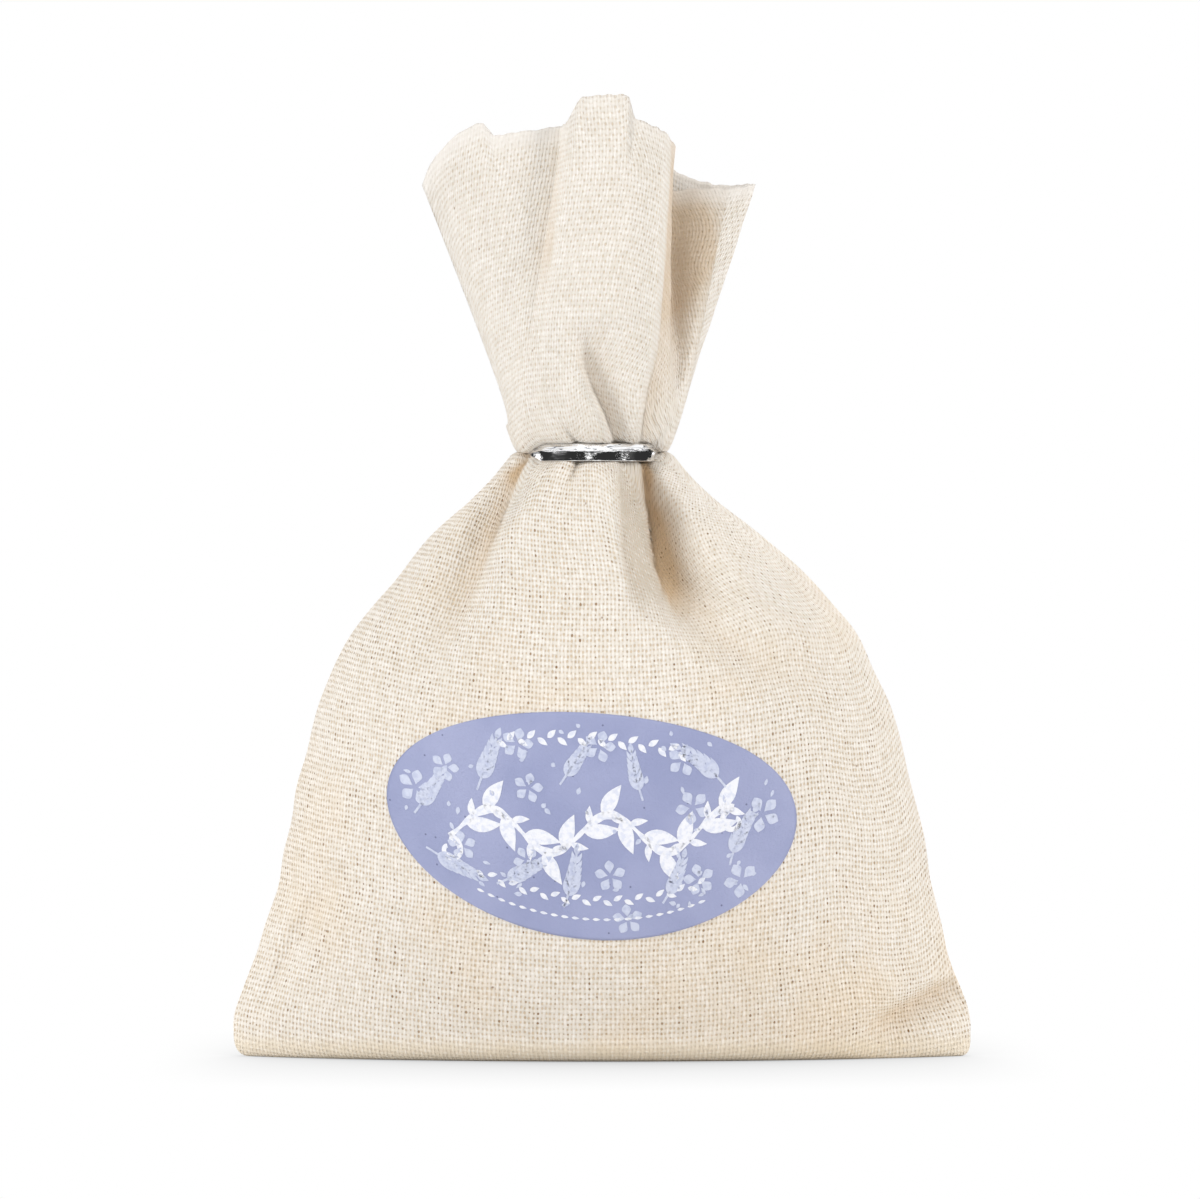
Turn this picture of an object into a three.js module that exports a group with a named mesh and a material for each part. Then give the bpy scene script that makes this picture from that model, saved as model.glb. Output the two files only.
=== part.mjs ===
// A lavender sachet: two cotton panels sewn into a small bag, filled with dried lavender flowers,
// gathered at the neck by a foil-covered wire tie, with an oval label film on its front.
// Millimetres, +Z up. The label faces -Y, and the origin is on the floor under the middle of the bag.

import * as THREE from "three";

// Bag
const cornerWidth = 95.4; // across the two bottom corners
const bellyDepth = 47; // front to back at the fullest height
const tieHeight = 78.4; // floor to the middle of the tie
const floorRound = 3.4; // radius of the turn from the floor up into the walls
const bellyShift = 0.4; // the belly stands a little to the right
const neckRadius = 7.4; // middle of the gathered cloth inside the tie
const neckOffset = -1.3; // the neck stands a little to the left
const neckSpread = 5; // how much wider the cloth is again just below the tie
const neckSwell = 2.8; // how much deeper it is there
const tuftSwell = 3.6; // how far it swells just above the tie
const neckRise = 2; // height over which it swells
const clothThickness = 0.5;

// Tuft, the loose cloth above the tie
const tuftHeight = 46.2; // middle of the tie to the highest point of the mouth
const tuftWidth = 42.6; // across the mouth
const tuftDepth = 22; // front to back across the mouth

// Seams
const seamGap = 0.3; // between the two panels where they are sewn together
const threadDiameter = 0.5;
const threadInset = 1.1; // seam line to the middle of the thread, inside the bag
const stitchLength = 5; // one bight of the seam thread to each side
const stitchSway = 0.15;
const seamFeel = 0.06; // share of a panel over which its direction at the seam is taken

// Filling
const fillInset = 2; // cloth to flowers
const fillCornerInset = 3.5; // the flowers stop short of the side seams
const fillTop = 66.5; // highest flowers, below the gathered neck
const crownHeight = 0.93; // the heap's last ring, as a share of its top, and how much narrower that ring is
const crownShrink = 0.62;
const restGap = 0.3; // between pieces that lie on each other

// Label
const labelWidth = 51.4;
const labelHeight = 28.8;
const labelCentre = new THREE.Vector2(-1.3, 30.5); // across and above the floor
const labelLift = 2.3; // its ends follow the cloth upwards
const labelTilt = -1.55; // its right end stands lower
const labelThickness = 0.2;
const labelFeel = 0.01; // share of its width over which the cloth's direction under it is taken

// Tie
const ribbonWidth = 2.4;
const ribbonRidge = 0.5; // how far the ribbon's middle stands out over the wire
const filmThickness = 0.18;
const wireDiameter = 0.45;
const filmGap = 0.13; // wire to film
const loopClearance = 0.3; // cloth to ribbon
const pressMargin = 0.25; // the cloth is pressed in this far above and below the ribbon
const twistGap = 0.2; // from each ribbon to the twist's axis
const turnOutRadius = 1.5; // where the two ends leave the neck
const endRun = 1; // straight ends before the twist
const twistLength = 9;
const twistTurns = 1.5;
const tailSplay = 1.1; // how far each cut end bends away from the twist
const splayStart = 0.65; // share of the twist before the ends bend away
const innerShare = 0.92; // the inner film's width as a share of the outer one's

// Mesh density
const panelColumns = 30;
const fillColumns = 24;
const labelRings = 4;
const labelSectors = 36;
const loopSteps = 44;
const turnSteps = 5;
const twistSteps = 27;

// The filled bag, from the floor to the neck: share of the tie height, of half the corner width and of
// half the belly depth, and how the panels meet at the side seams (1 is round, 2 a straight-sided edge).
const bagStations = [
  { height: 0.0, width: 0.985, depth: 0.7, corner: 1.75 },
  { height: 0.05, width: 1.0, depth: 0.78, corner: 1.75 },
  { height: 0.11, width: 0.978, depth: 0.87, corner: 1.75 },
  { height: 0.18, width: 0.93, depth: 0.94, corner: 1.7 },
  { height: 0.27, width: 0.893, depth: 0.99, corner: 1.6 },
  { height: 0.38, width: 0.855, depth: 1.0, corner: 1.5 },
  { height: 0.5, width: 0.808, depth: 0.985, corner: 1.45 },
  { height: 0.6, width: 0.762, depth: 0.935, corner: 1.45 },
  { height: 0.7, width: 0.678, depth: 0.84, corner: 1.45 },
  { height: 0.79, width: 0.56, depth: 0.7, corner: 1.4 },
  { height: 0.87, width: 0.43, depth: 0.56, corner: 1.3 },
  { height: 0.92, width: 0.33, depth: 0.47, corner: 1.15 },
];
const flatWidth = 0.945; // the part of the floor that lies flat, as shares of half width and half depth
const flatDepth = 0.58;
const floorTurns = [0.5, 0.85]; // rows of the round turn, as shares of a quarter turn
const panelHeights = [0.1, 0.18, 0.27, 0.37, 0.47, 0.56, 0.63, 0.69, 0.745, 0.795, 0.84, 0.88, 0.915];
const seamHeights = [0.06, 0.18, 0.35, 0.55, 0.7, 0.8, 0.88];
const seamRises = [0, 0.15, 0.35, 0.65, 0.96];
const neckPinches = [0, 0.3, 0.6, 0.85, 1]; // rows below the tie, from the shoulder to the pressed neck
const tuftSwells = [0, 0.4, 0.75]; // rows just above it
const tuftShares = [0, 0.07, 0.15, 0.27, 0.42, 0.6, 0.8, 1];
const tuftSpread = 1.1; // over 1, the cloth opens more towards the mouth
const pinchBend = 1.5; // over 1, the cloth bends in more sharply close to the tie

// Folds that run down from the neck. Each follows a line of points [share of tie height, share of local
// half width] from the neck to its foot. Depths, at the neck and midway, are shares of half the belly depth.
// Widths, at the neck and the foot, are shares of half the corner width. steep narrows the fold's left side.
const front = -1;
const back = 1;
const folds = [
  // deep fold right of the middle, which turns towards the right side lower down
  {
    side: front,
    line: [[1, 0.82], [0.9, 0.4], [0.83, 0.31], [0.75, 0.32], [0.66, 0.47], [0.58, 0.69]],
    depth: [0.14, 0.74],
    width: [0.035, 0.17],
    steep: 0.6,
  },
  // crease along the right edge of the front
  { side: front, line: [[1, 0.37], [0.9, 0.14], [0.82, 0.1]], depth: [0.18, 0.01], width: [0.017, 0.052] },
  // small tuck under the tie
  { side: front, line: [[1, -0.3], [0.95, -0.22], [0.91, -0.18]], depth: [0.17, 0.03], width: [0.017, 0.03] },
  // hollow down the left shoulder
  {
    side: front,
    line: [[1, -0.84], [0.92, -0.74], [0.85, -0.64], [0.77, -0.56], [0.66, -0.6], [0.54, -0.68]],
    depth: [0.1, 0.36],
    width: [0.025, 0.14],
  },
  { side: back, line: [[1, 0.62], [0.88, 0.46], [0.66, 0.55]], depth: [0.19, 0.26], width: [0.019, 0.126] },
  { side: back, line: [[1, 0.02], [0.88, 0.04], [0.72, -0.06]], depth: [0.22, 0.15], width: [0.019, 0.105] },
  { side: back, line: [[1, -0.55], [0.88, -0.42], [0.6, -0.6]], depth: [0.2, 0.28], width: [0.019, 0.147] },
];
const leastBow = 0.25; // the folds leave the panels at least this far from the seam plane
const leanFrom = 0.5; // share of the tie height above which the bag leans to the neck's side
const bellyFrom = [0.18, 0.28]; // shares of the tie height over which the belly comes to stand to its side,
const bellyTo = [0.77, 0.94]; // and over which it goes back

// The mouth's edge, panel by panel: share of the way across the panel, then the place as shares of half the
// tuft's width and half its depth, and the drop below the highest point as a share of the tuft's height.
const frontMouth = [
  [0, -1.033, 0.28, 0.238], // left seam
  [0.07, -0.84, -0.24, 0.18],
  [0.14, -0.5, -0.54, 0.12], // left lobe
  [0.19, -0.315, -0.5, 0.123],
  [0.23, -0.22, -0.36, 0.127], // valley beside the roll
  [0.29, -0.17, -0.58, 0.1],
  [0.36, -0.1, -0.8, 0.082],
  [0.46, 0.05, -0.95, 0.074], // front of the roll
  [0.55, 0.2, -0.97, 0.076],
  [0.64, 0.35, -0.84, 0.1],
  [0.71, 0.45, -0.6, 0.13],
  [0.76, 0.49, -0.3, 0.16], // right edge of the roll
  [0.81, 0.4, 0.06, 0.2], // the cloth turns back behind the roll
  [0.86, 0.43, 0.32, 0.25],
  [0.92, 0.624, 0.32, 0.253], // right flap
  [1, 0.826, 0.32, 0.253], // right seam
];
const backMouth = [
  [0, 0.826, 0.4, 0.253], // right seam
  [0.06, 0.96, 0.49, 0.245],
  [0.1, 0.99, 0.6, 0.238], // edge of the right flap
  [0.14, 0.9, 0.77, 0.238],
  [0.2, 0.765, 0.9, 0.238],
  [0.3, 0.484, 0.96, 0.186],
  [0.38, 0.32, 0.8, 0.1],
  [0.44, 0.26, 0.6, 0.03],
  [0.5, 0.14, 0.5, 0], // highest point, behind the roll
  [0.56, -0.02, 0.5, 0.006],
  [0.61, -0.1, 0.6, 0.03],
  [0.65, -0.16, 0.75, 0.08],
  [0.72, -0.34, 0.82, 0.09],
  [0.79, -0.56, 0.86, 0.1],
  [0.84, -0.74, 0.78, 0.09], // tab behind the left lobe
  [0.9, -0.9, 0.66, 0.14],
  [0.95, -0.98, 0.51, 0.18],
  [1, -1.033, 0.36, 0.238], // left seam
];

const seamShift = (seamGap + clothThickness) / 2; // each panel's middle stands this far from the seam plane
const pinchHalf = ribbonWidth / 2 + pressMargin; // half the height of cloth that the tie presses in
const shoulderHeight = tieHeight - pinchHalf - neckRise; // where the cloth starts to bend in to the tie
const shoulder = [neckRadius + neckSpread, neckRadius + neckSwell]; // half width and half depth there

// Smooth curve through rows of numbers, looked up by each row's first number.
function curveThrough(rows) {
  const slope = (i, k) => {
    const before = rows[Math.max(i - 1, 0)];
    const after = rows[Math.min(i + 1, rows.length - 1)];
    return (after[k] - before[k]) / (after[0] - before[0]);
  };
  return (at) => {
    const last = rows.length - 2;
    let i = 0;
    while (i < last && at > rows[i + 1][0]) i++;
    const [from, to] = [rows[i], rows[i + 1]];
    const span = to[0] - from[0];
    const s = THREE.MathUtils.clamp((at - from[0]) / span, 0, 1);
    const h = s * s * (3 - 2 * s);
    return from.slice(1).map((value, k) => {
      const out = slope(i, k + 1) * span;
      const into = slope(i + 1, k + 1) * span;
      return value + (to[k + 1] - value) * h + s * (1 - s) * ((1 - s) * out - s * into);
    });
  };
}

const stationRows = bagStations.map((s) => [
  s.height * tieHeight,
  (s.width * cornerWidth) / 2,
  (s.depth * bellyDepth) / 2,
  s.corner,
]);
stationRows.push([shoulderHeight, ...shoulder, 1]);
const bagProfile = curveThrough(stationRows);

// Middle line of the bag: the belly stands to one side, and the neck leans to the other.
function middleAt(z) {
  const share = z / tieHeight;
  const lean = THREE.MathUtils.smoothstep(share, leanFrom, 1);
  const stands = THREE.MathUtils.smoothstep(share, ...bellyFrom);
  const returns = THREE.MathUtils.smoothstep(share, ...bellyTo);
  return neckOffset * lean + bellyShift * (stands - returns);
}

// Half width, half depth and corner of the cloth's section at a height up to the tie.
function sectionAt(z) {
  if (z <= shoulderHeight) return bagProfile(z);
  const pinch = THREE.MathUtils.clamp((z - shoulderHeight) / neckRise, 0, 1) ** pinchBend;
  const [halfWidth, halfDepth] = shoulder.map((size) => THREE.MathUtils.lerp(size, neckRadius, pinch));
  return [halfWidth, halfDepth, 1];
}

for (const fold of folds) {
  const rows = fold.line.map(([height, share]) => [-height * tieHeight, share]);
  fold.foot = fold.line.at(-1)[0] * tieHeight;
  fold.shareAt = curveThrough(rows);
}

// How far the folds of one side draw the cloth in at a place across the bag. widen opens the folds out.
function foldDepth(side, x, z, halfWidth, widen = 0) {
  let total = 0;
  for (const fold of folds) {
    if (fold.side !== side || z < fold.foot) continue;
    const s = THREE.MathUtils.clamp((tieHeight - z) / (tieHeight - fold.foot), 0, 1);
    const depth = (1 - s) ** 2 * fold.depth[0] + 2 * s * (1 - s) * (1 - s) * fold.depth[1];
    const across = x - fold.shareAt(-z)[0] * halfWidth;
    const narrow = across < 0 ? (fold.steep ?? 1) : 1;
    const width = (narrow * THREE.MathUtils.lerp(fold.width[0], fold.width[1], s) * cornerWidth) / 2 + widen;
    total += ((depth * bellyDepth) / 2) * Math.exp(-((across / width) ** 2));
  }
  return total;
}

// Middle of a panel's cloth at a height and a share of the way across: 0 at the left seam, 1 at the right.
function wallPoint(side, share, z, inset = 0, cornerInset = inset) {
  const [halfWidth, halfDepth, corner] = sectionAt(z);
  const angle = Math.PI * share;
  const x = -(halfWidth - cornerInset) * Math.cos(angle);
  const bow = Math.max(halfDepth - seamShift - inset, leastBow) * Math.sin(angle) ** corner;
  const depth = Math.max(bow - foldDepth(side, x, z, halfWidth, inset), leastBow * Math.sin(angle));
  return new THREE.Vector3(middleAt(z) + x, side * (seamShift + depth), z);
}

// The floor of the bag: a flat part that reaches in to the bottom seam, and a round turn up into the wall.
function floorRows(side, share) {
  const angle = Math.PI * share;
  const halfWidth = (flatWidth * cornerWidth) / 2;
  const halfDepth = (flatDepth * bellyDepth) / 2 - seamShift;
  const x = -halfWidth * Math.cos(angle);
  const level = clothThickness / 2;
  const edge = seamShift + level + halfDepth * Math.sin(angle) ** bagStations[0].corner;
  const wall = wallPoint(side, share, floorRound + level);
  const flat = new THREE.Vector3(x, side * edge, level);
  const turn = floorTurns.map((turned) => {
    const out = Math.sin((turned * Math.PI) / 2);
    const up = 1 - Math.cos((turned * Math.PI) / 2);
    return new THREE.Vector3(
      THREE.MathUtils.lerp(flat.x, wall.x, out),
      THREE.MathUtils.lerp(flat.y, wall.y, out),
      level + floorRound * up,
    );
  });
  return [new THREE.Vector3(x, side * seamShift, level), flat, ...turn];
}

// Cloth just above the tie, from the pressed neck (swell 0) to where it has swollen out again (swell 1).
function neckPoint(side, share, swell) {
  const neck = wallPoint(side, share, tieHeight - pinchHalf);
  const scale = 1 + (Math.sin((swell * Math.PI) / 2) * tuftSwell) / neckRadius;
  return new THREE.Vector3(
    neckOffset + (neck.x - neckOffset) * scale,
    neck.y * scale,
    tieHeight + pinchHalf + (1 - Math.cos((swell * Math.PI) / 2)) * neckRise,
  );
}

// Cloth above that: it opens from the gathered neck (rise 0) to the mouth's edge (rise 1).
const mouthCurves = { [front]: curveThrough(frontMouth), [back]: curveThrough(backMouth) };
function tuftPoint(side, share, rise) {
  const neckShare = side === front ? share : 1 - share;
  const neck = neckPoint(side, neckShare, 1);
  const [acrossShare, depthShare, drop] = mouthCurves[side](share);
  const spread = rise ** tuftSpread;
  const mouthZ = tieHeight + tuftHeight * (1 - drop);
  return new THREE.Vector3(
    THREE.MathUtils.lerp(neck.x, neckOffset + (acrossShare * tuftWidth) / 2, spread),
    THREE.MathUtils.lerp(neck.y, (depthShare * tuftDepth) / 2, spread),
    THREE.MathUtils.lerp(neck.z, mouthZ, rise),
  );
}

// Column of cloth from the bottom seam to the mouth.
function panelColumn(side, share) {
  const walls = [floorRound + clothThickness / 2, ...panelHeights.map((h) => h * tieHeight)];
  const necks = neckPinches.map((pinch) => shoulderHeight + pinch * neckRise);
  const tuftShare = side === front ? share : 1 - share;
  return [
    ...floorRows(side, share),
    ...[...walls, ...necks].map((z) => wallPoint(side, share, z)),
    ...tuftSwells.map((swell) => neckPoint(side, share, swell)),
    ...tuftShares.map((rise) => tuftPoint(side, tuftShare, rise)),
  ];
}

// Triangles of a grid of vertices, numbered row by row, with quads split along their shorter diagonal.
function gridTriangles(points, rows, columns, start, wrap) {
  const triangles = [];
  const last = wrap ? columns : columns - 1;
  for (let r = 0; r < rows - 1; r++) {
    for (let c = 0; c < last; c++) {
      const next = (c + 1) % columns;
      const [a, b] = [start + r * columns + c, start + r * columns + next];
      const [d, e] = [a + columns, b + columns];
      if (points[a].distanceTo(points[e]) < points[b].distanceTo(points[d])) triangles.push(a, b, e, a, e, d);
      else triangles.push(a, b, d, b, e, d);
    }
  }
  return triangles;
}

// Geometry from points and triangles, turned so that its faces point out.
function solidGeometry(points, triangles) {
  let volume = 0;
  const cross = new THREE.Vector3();
  for (let i = 0; i < triangles.length; i += 3) {
    const [a, b, c] = [points[triangles[i]], points[triangles[i + 1]], points[triangles[i + 2]]];
    volume += a.dot(cross.crossVectors(b, c));
  }
  if (volume < 0) triangles.reverse();
  const geometry = new THREE.BufferGeometry().setFromPoints(points);
  geometry.setIndex(triangles);
  geometry.computeVertexNormals();
  return geometry;
}

// Directions square to a grid of points, from their neighbours along and across the grid.
function gridNormals(grid) {
  const near = (list, i) => list[THREE.MathUtils.clamp(i, 0, list.length - 1)];
  return grid.map((row, r) =>
    row.map((point, c) => {
      const along = near(grid, r + 1)[c].clone().sub(near(grid, r - 1)[c]).normalize();
      const across = near(row, c + 1).clone().sub(near(row, c - 1)).normalize();
      return across.cross(along).normalize();
    }),
  );
}

// Sheet of even thickness whose middle follows a grid of points.
function sheetGeometry(grid, thickness) {
  const [rows, columns] = [grid.length, grid[0].length];
  const normals = gridNormals(grid);
  const face = (half) =>
    grid.flatMap((row, r) => row.map((p, c) => p.clone().addScaledVector(normals[r][c], half)));
  const points = [...face(thickness / 2), ...face(-thickness / 2)];
  const offset = rows * columns;
  const outer = gridTriangles(points, rows, columns, 0, false);
  const inner = gridTriangles(points, rows, columns, offset, false).reverse();
  const rim = [];
  for (let c = 0; c < columns; c++) rim.push(c);
  for (let r = 1; r < rows; r++) rim.push(r * columns + columns - 1);
  for (let c = columns - 2; c >= 0; c--) rim.push((rows - 1) * columns + c);
  for (let r = rows - 2; r > 0; r--) rim.push(r * columns);
  const edge = rim.flatMap((a, i) => {
    const b = rim[(i + 1) % rim.length];
    return [b, a, a + offset, b, a + offset, b + offset];
  });
  return solidGeometry(points, [...outer, ...inner, ...edge]);
}

function panelGeometry(side) {
  const columns = Array.from({ length: panelColumns + 1 }, (_, c) => panelColumn(side, c / panelColumns));
  const grid = columns[0].map((_, r) => columns.map((column) => column[r]));
  return sheetGeometry(grid, clothThickness);
}

// Bar of one section along a line of frames, each with a place, an outward direction and a width direction.
function sweepGeometry(section, frames) {
  const points = frames.flatMap(({ place, out, wide }) =>
    section.map((s) => place.clone().addScaledVector(out, s.x).addScaledVector(wide, s.y)),
  );
  const count = section.length;
  const sides = gridTriangles(points, frames.length, count, 0, true);
  const cap = THREE.ShapeUtils.triangulateShape(section, []).flat();
  const turned = THREE.ShapeUtils.isClockWise(section) ? 1 : -1;
  const first = turned > 0 ? cap : cap.slice().reverse();
  const far = (frames.length - 1) * count;
  const last = first.slice().reverse().map((i) => i + far);
  const start = frames[0];
  const heading = frames[1].place.clone().sub(start.place);
  const handed = start.out.clone().cross(start.wide).dot(heading) > 0;
  const ends = handed ? [...first, ...last] : [...first, ...last].reverse();
  return solidGeometry(points, handed === turned < 0 ? [...sides, ...ends] : [...sides.reverse(), ...ends]);
}

function roundSection(diameter, sides) {
  return Array.from({ length: sides }, (_, i) => {
    const angle = (2 * Math.PI * i) / sides;
    return new THREE.Vector2(Math.cos(angle), Math.sin(angle)).multiplyScalar(diameter / 2);
  });
}

// Frames along a list of points, with out directions that stay square to a fixed width direction.
function framesAlong(points, wide) {
  return points.map((place, i) => {
    const heading = points[Math.min(i + 1, points.length - 1)].clone().sub(points[Math.max(i - 1, 0)]);
    const out = wide.clone().cross(heading).normalize();
    return { place, out, wide: heading.clone().cross(out).normalize() };
  });
}

// Seam thread: it runs just inside a seam and sways from one panel to the other.
function threadGeometry(line) {
  const curve = new THREE.CatmullRomCurve3(line);
  const steps = 2 * Math.round(curve.getLength() / stitchLength);
  const points = curve.getSpacedPoints(steps);
  points.forEach((p, i) => {
    p.y += i % 2 ? stitchSway : -stitchSway;
  });
  const wide = new THREE.Vector3(0, 1, 0);
  return sweepGeometry(roundSection(threadDiameter, 5), framesAlong(points, wide));
}

// The thread lies inside the bag, between the two panels where they leave the seam.
function sideSeamGeometry(share) {
  const nearby = share === 0 ? seamFeel : 1 - seamFeel;
  const inside = (frontAt, backAt) => {
    const middle = frontAt(share).add(backAt(share)).multiplyScalar(0.5);
    const leaving = [frontAt, backAt].map((at) => at(nearby).sub(at(share)).normalize());
    const inwards = leaving[0].add(leaving[1]).setZ(0).normalize();
    return middle.addScaledVector(inwards, threadInset);
  };
  const heights = [...seamHeights.map((h) => h * tieHeight), shoulderHeight, tieHeight - pinchHalf];
  const line = heights.map((z) => inside((at) => wallPoint(front, at, z), (at) => wallPoint(back, at, z)));
  line.push(inside((at) => neckPoint(front, at, 0), (at) => neckPoint(back, at, 0)));
  for (const rise of seamRises) {
    line.push(inside((at) => tuftPoint(front, at, rise), (at) => tuftPoint(back, 1 - at, rise)));
  }
  return threadGeometry(line);
}

const bottomThreadHeight = clothThickness + restGap + threadDiameter / 2 + stitchSway;
function bottomSeamGeometry() {
  const reach = (flatWidth * cornerWidth) / 2 - threadInset - threadDiameter;
  const ends = [-reach, -reach / 2, 0, reach / 2, reach];
  return threadGeometry(ends.map((x) => new THREE.Vector3(x, 0, bottomThreadHeight)));
}

// Closed body lofted through rings of points, with a fan to a point at each end.
function loftGeometry(rings, bottom, top) {
  const columns = rings[0].length;
  const points = [...rings.flat(), bottom, top];
  const sides = gridTriangles(points, rings.length, columns, 0, true);
  const [bottomIndex, topIndex] = [points.length - 2, points.length - 1];
  const far = (rings.length - 1) * columns;
  for (let c = 0; c < columns; c++) {
    const next = (c + 1) % columns;
    sides.push(next, c, bottomIndex, far + c, far + next, topIndex);
  }
  return solidGeometry(points, sides);
}

// The loose flowers, as the one body that they make inside the bag.
function fillGeometry() {
  const floor = bottomThreadHeight + threadDiameter / 2 + stitchSway + restGap;
  const crown = fillTop * crownHeight;
  const walls = panelHeights.map((h) => h * tieHeight);
  const heights = [floor, floor + floorRound, ...walls].filter((z) => z < crown);
  const half = fillColumns / 2;
  const ringAt = (z, shrink) =>
    Array.from({ length: fillColumns }, (_, i) => {
      const side = i < half ? front : back;
      const share = i < half ? (i + 0.5) / half : 1 - (i - half + 0.5) / half;
      const corner = z === floor ? fillCornerInset + floorRound : fillCornerInset;
      const inset = z === floor ? fillInset + floorRound : fillInset;
      const p = wallPoint(side, share, z, inset, corner);
      p.x = THREE.MathUtils.lerp(middleAt(z), p.x, shrink);
      p.y *= shrink;
      return p;
    });
  const rings = heights.map((z) => ringAt(z, 1));
  rings.push(ringAt(crown, crownShrink));
  const top = new THREE.Vector3(middleAt(fillTop), 0, fillTop);
  return loftGeometry(rings, new THREE.Vector3(0, 0, floor), top);
}

// Place on the front of the bag, found from a place across the front and a height.
function frontPoint(x, z) {
  const [halfWidth] = sectionAt(z);
  const share = Math.acos(THREE.MathUtils.clamp((middleAt(z) - x) / halfWidth, -1, 1)) / Math.PI;
  return wallPoint(front, share, z);
}

// Oval film that follows the cloth of the front.
function labelGeometry() {
  const stand = clothThickness / 2 + restGap + labelThickness / 2;
  const step = labelWidth * labelFeel;
  const skin = (ring, sector) => {
    const angle = (2 * Math.PI * sector) / labelSectors;
    const reach = ring / labelRings;
    const across = reach * Math.cos(angle);
    const x = labelCentre.x + (across * labelWidth) / 2;
    const follow = labelLift * across ** 2 + labelTilt * across;
    const z = labelCentre.y + follow + (reach * Math.sin(angle) * labelHeight) / 2;
    const place = frontPoint(x, z);
    const right = frontPoint(x + step, z).sub(frontPoint(x - step, z));
    const up = frontPoint(x, z + step).sub(frontPoint(x, z - step));
    return { place, out: right.cross(up).normalize() };
  };
  const face = (offset) => {
    const lift = ({ place, out }) => place.clone().addScaledVector(out, offset);
    const rings = [];
    for (let ring = labelRings; ring > 0; ring--) {
      rings.push(Array.from({ length: labelSectors }, (_, sector) => lift(skin(ring, sector))));
    }
    return { rings, centre: lift(skin(0, 0)) };
  };
  const near = face(stand - labelThickness / 2);
  const far = face(stand + labelThickness / 2);
  return loftGeometry([...near.rings.reverse(), ...far.rings], near.centre, far.centre);
}

// Tie: a wire between two films. The loop lies round the neck, and its ends leave at the back.
const innerFilm = loopClearance + filmThickness / 2;
const wireCentre = innerFilm + filmThickness / 2 + filmGap + wireDiameter / 2;
const loopRadius = neckRadius + clothThickness / 2 + wireCentre;
const endSpacing = wireCentre - innerFilm + filmThickness / 2 + twistGap; // each end's wire to the axis
const turnOutAngle = Math.asin((turnOutRadius + endSpacing) / (loopRadius + turnOutRadius));
const turnOutEnd = (loopRadius + turnOutRadius) * Math.cos(turnOutAngle);
const twistStart = turnOutEnd + endRun;

// Wire's line from the back of the neck round the front and back again, seen from above.
function loopFrames() {
  const wide = new THREE.Vector3(0, 0, 1);
  const line = [];
  const add = (x, y) => line.push(new THREE.Vector3(neckOffset + x, y, tieHeight));
  const centre = new THREE.Vector2(endSpacing + turnOutRadius, turnOutEnd);
  const leave = Array.from({ length: turnSteps }, (_, i) => {
    const a = ((Math.PI / 2 - turnOutAngle) * i) / turnSteps;
    return [centre.x - turnOutRadius * Math.cos(a), centre.y - turnOutRadius * Math.sin(a)];
  });
  add(endSpacing, twistStart);
  leave.forEach(([x, y]) => add(x, y));
  for (let i = 0; i <= loopSteps; i++) {
    const a = turnOutAngle + ((2 * Math.PI - 2 * turnOutAngle) * i) / loopSteps;
    add(loopRadius * Math.sin(a), loopRadius * Math.cos(a));
  }
  leave.reverse().forEach(([x, y]) => add(-x, y));
  add(-endSpacing, twistStart);
  const frames = framesAlong(line, wide);
  frames[0].out.set(1, 0, 0);
  frames.at(-1).out.set(-1, 0, 0);
  return frames;
}

// One end of the tie: it winds round the other along the twist and bends away at its cut end.
function tailFrames(side) {
  return Array.from({ length: twistSteps + 1 }, (_, i) => {
    const run = i / twistSteps;
    const angle = 2 * Math.PI * twistTurns * run;
    const apart = endSpacing + tailSplay * THREE.MathUtils.smoothstep(run, splayStart, 1);
    const out = new THREE.Vector3(Math.cos(angle), 0, Math.sin(angle)).multiplyScalar(side);
    const wide = new THREE.Vector3(-Math.sin(angle), 0, Math.cos(angle));
    const along = twistStart + restGap + twistLength * run;
    const place = new THREE.Vector3(neckOffset, along, tieHeight).addScaledVector(out, apart);
    return { place, out, wide };
  });
}

const half = ribbonWidth / 2;
const innerHalf = half * innerShare;
const ridge = wireDiameter / 2 + filmGap;
const v2 = (x, y) => new THREE.Vector2(x, y);
const outerFilmSection = [
  v2(ridge + filmThickness, 0),
  v2(ridge + filmThickness - ribbonRidge, half),
  v2(ridge - ribbonRidge, half),
  v2(ridge, 0),
  v2(ridge - ribbonRidge, -half),
  v2(ridge + filmThickness - ribbonRidge, -half),
];
const innerFilmSection = [
  v2(-ridge, innerHalf),
  v2(-ridge - filmThickness, innerHalf),
  v2(-ridge - filmThickness, 0),
  v2(-ridge - filmThickness, -innerHalf),
  v2(-ridge, -innerHalf),
  v2(-ridge, 0),
];
const wireSection = roundSection(wireDiameter, 6);

// Materials
function finish(color, roughness, metalness = 0) {
  return new THREE.MeshStandardMaterial({ color, roughness, metalness });
}
const cotton = finish(0xeee4d6, 0.95);
const seamThread = finish(0xd9c6a6, 0.9);
const flowers = finish(0x6d6590, 1);
const labelFilm = finish(0xa0a6cf, 0.6);
const foil = finish(0xd4d6da, 0.18, 1);
const steel = finish(0x8c8f94, 0.35, 1);

const sachet = new THREE.Group();
function addPiece(name, geometry, material, parent = sachet) {
  const mesh = new THREE.Mesh(geometry, material);
  mesh.name = name;
  parent.add(mesh);
}

addPiece("front_panel", panelGeometry(front), cotton);
addPiece("back_panel", panelGeometry(back), cotton);
addPiece("left_seam_thread", sideSeamGeometry(0), seamThread);
addPiece("right_seam_thread", sideSeamGeometry(1), seamThread);
addPiece("bottom_seam_thread", bottomSeamGeometry(), seamThread);
addPiece("lavender_fill", fillGeometry(), flowers);
addPiece("label_film", labelGeometry(), labelFilm);

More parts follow.
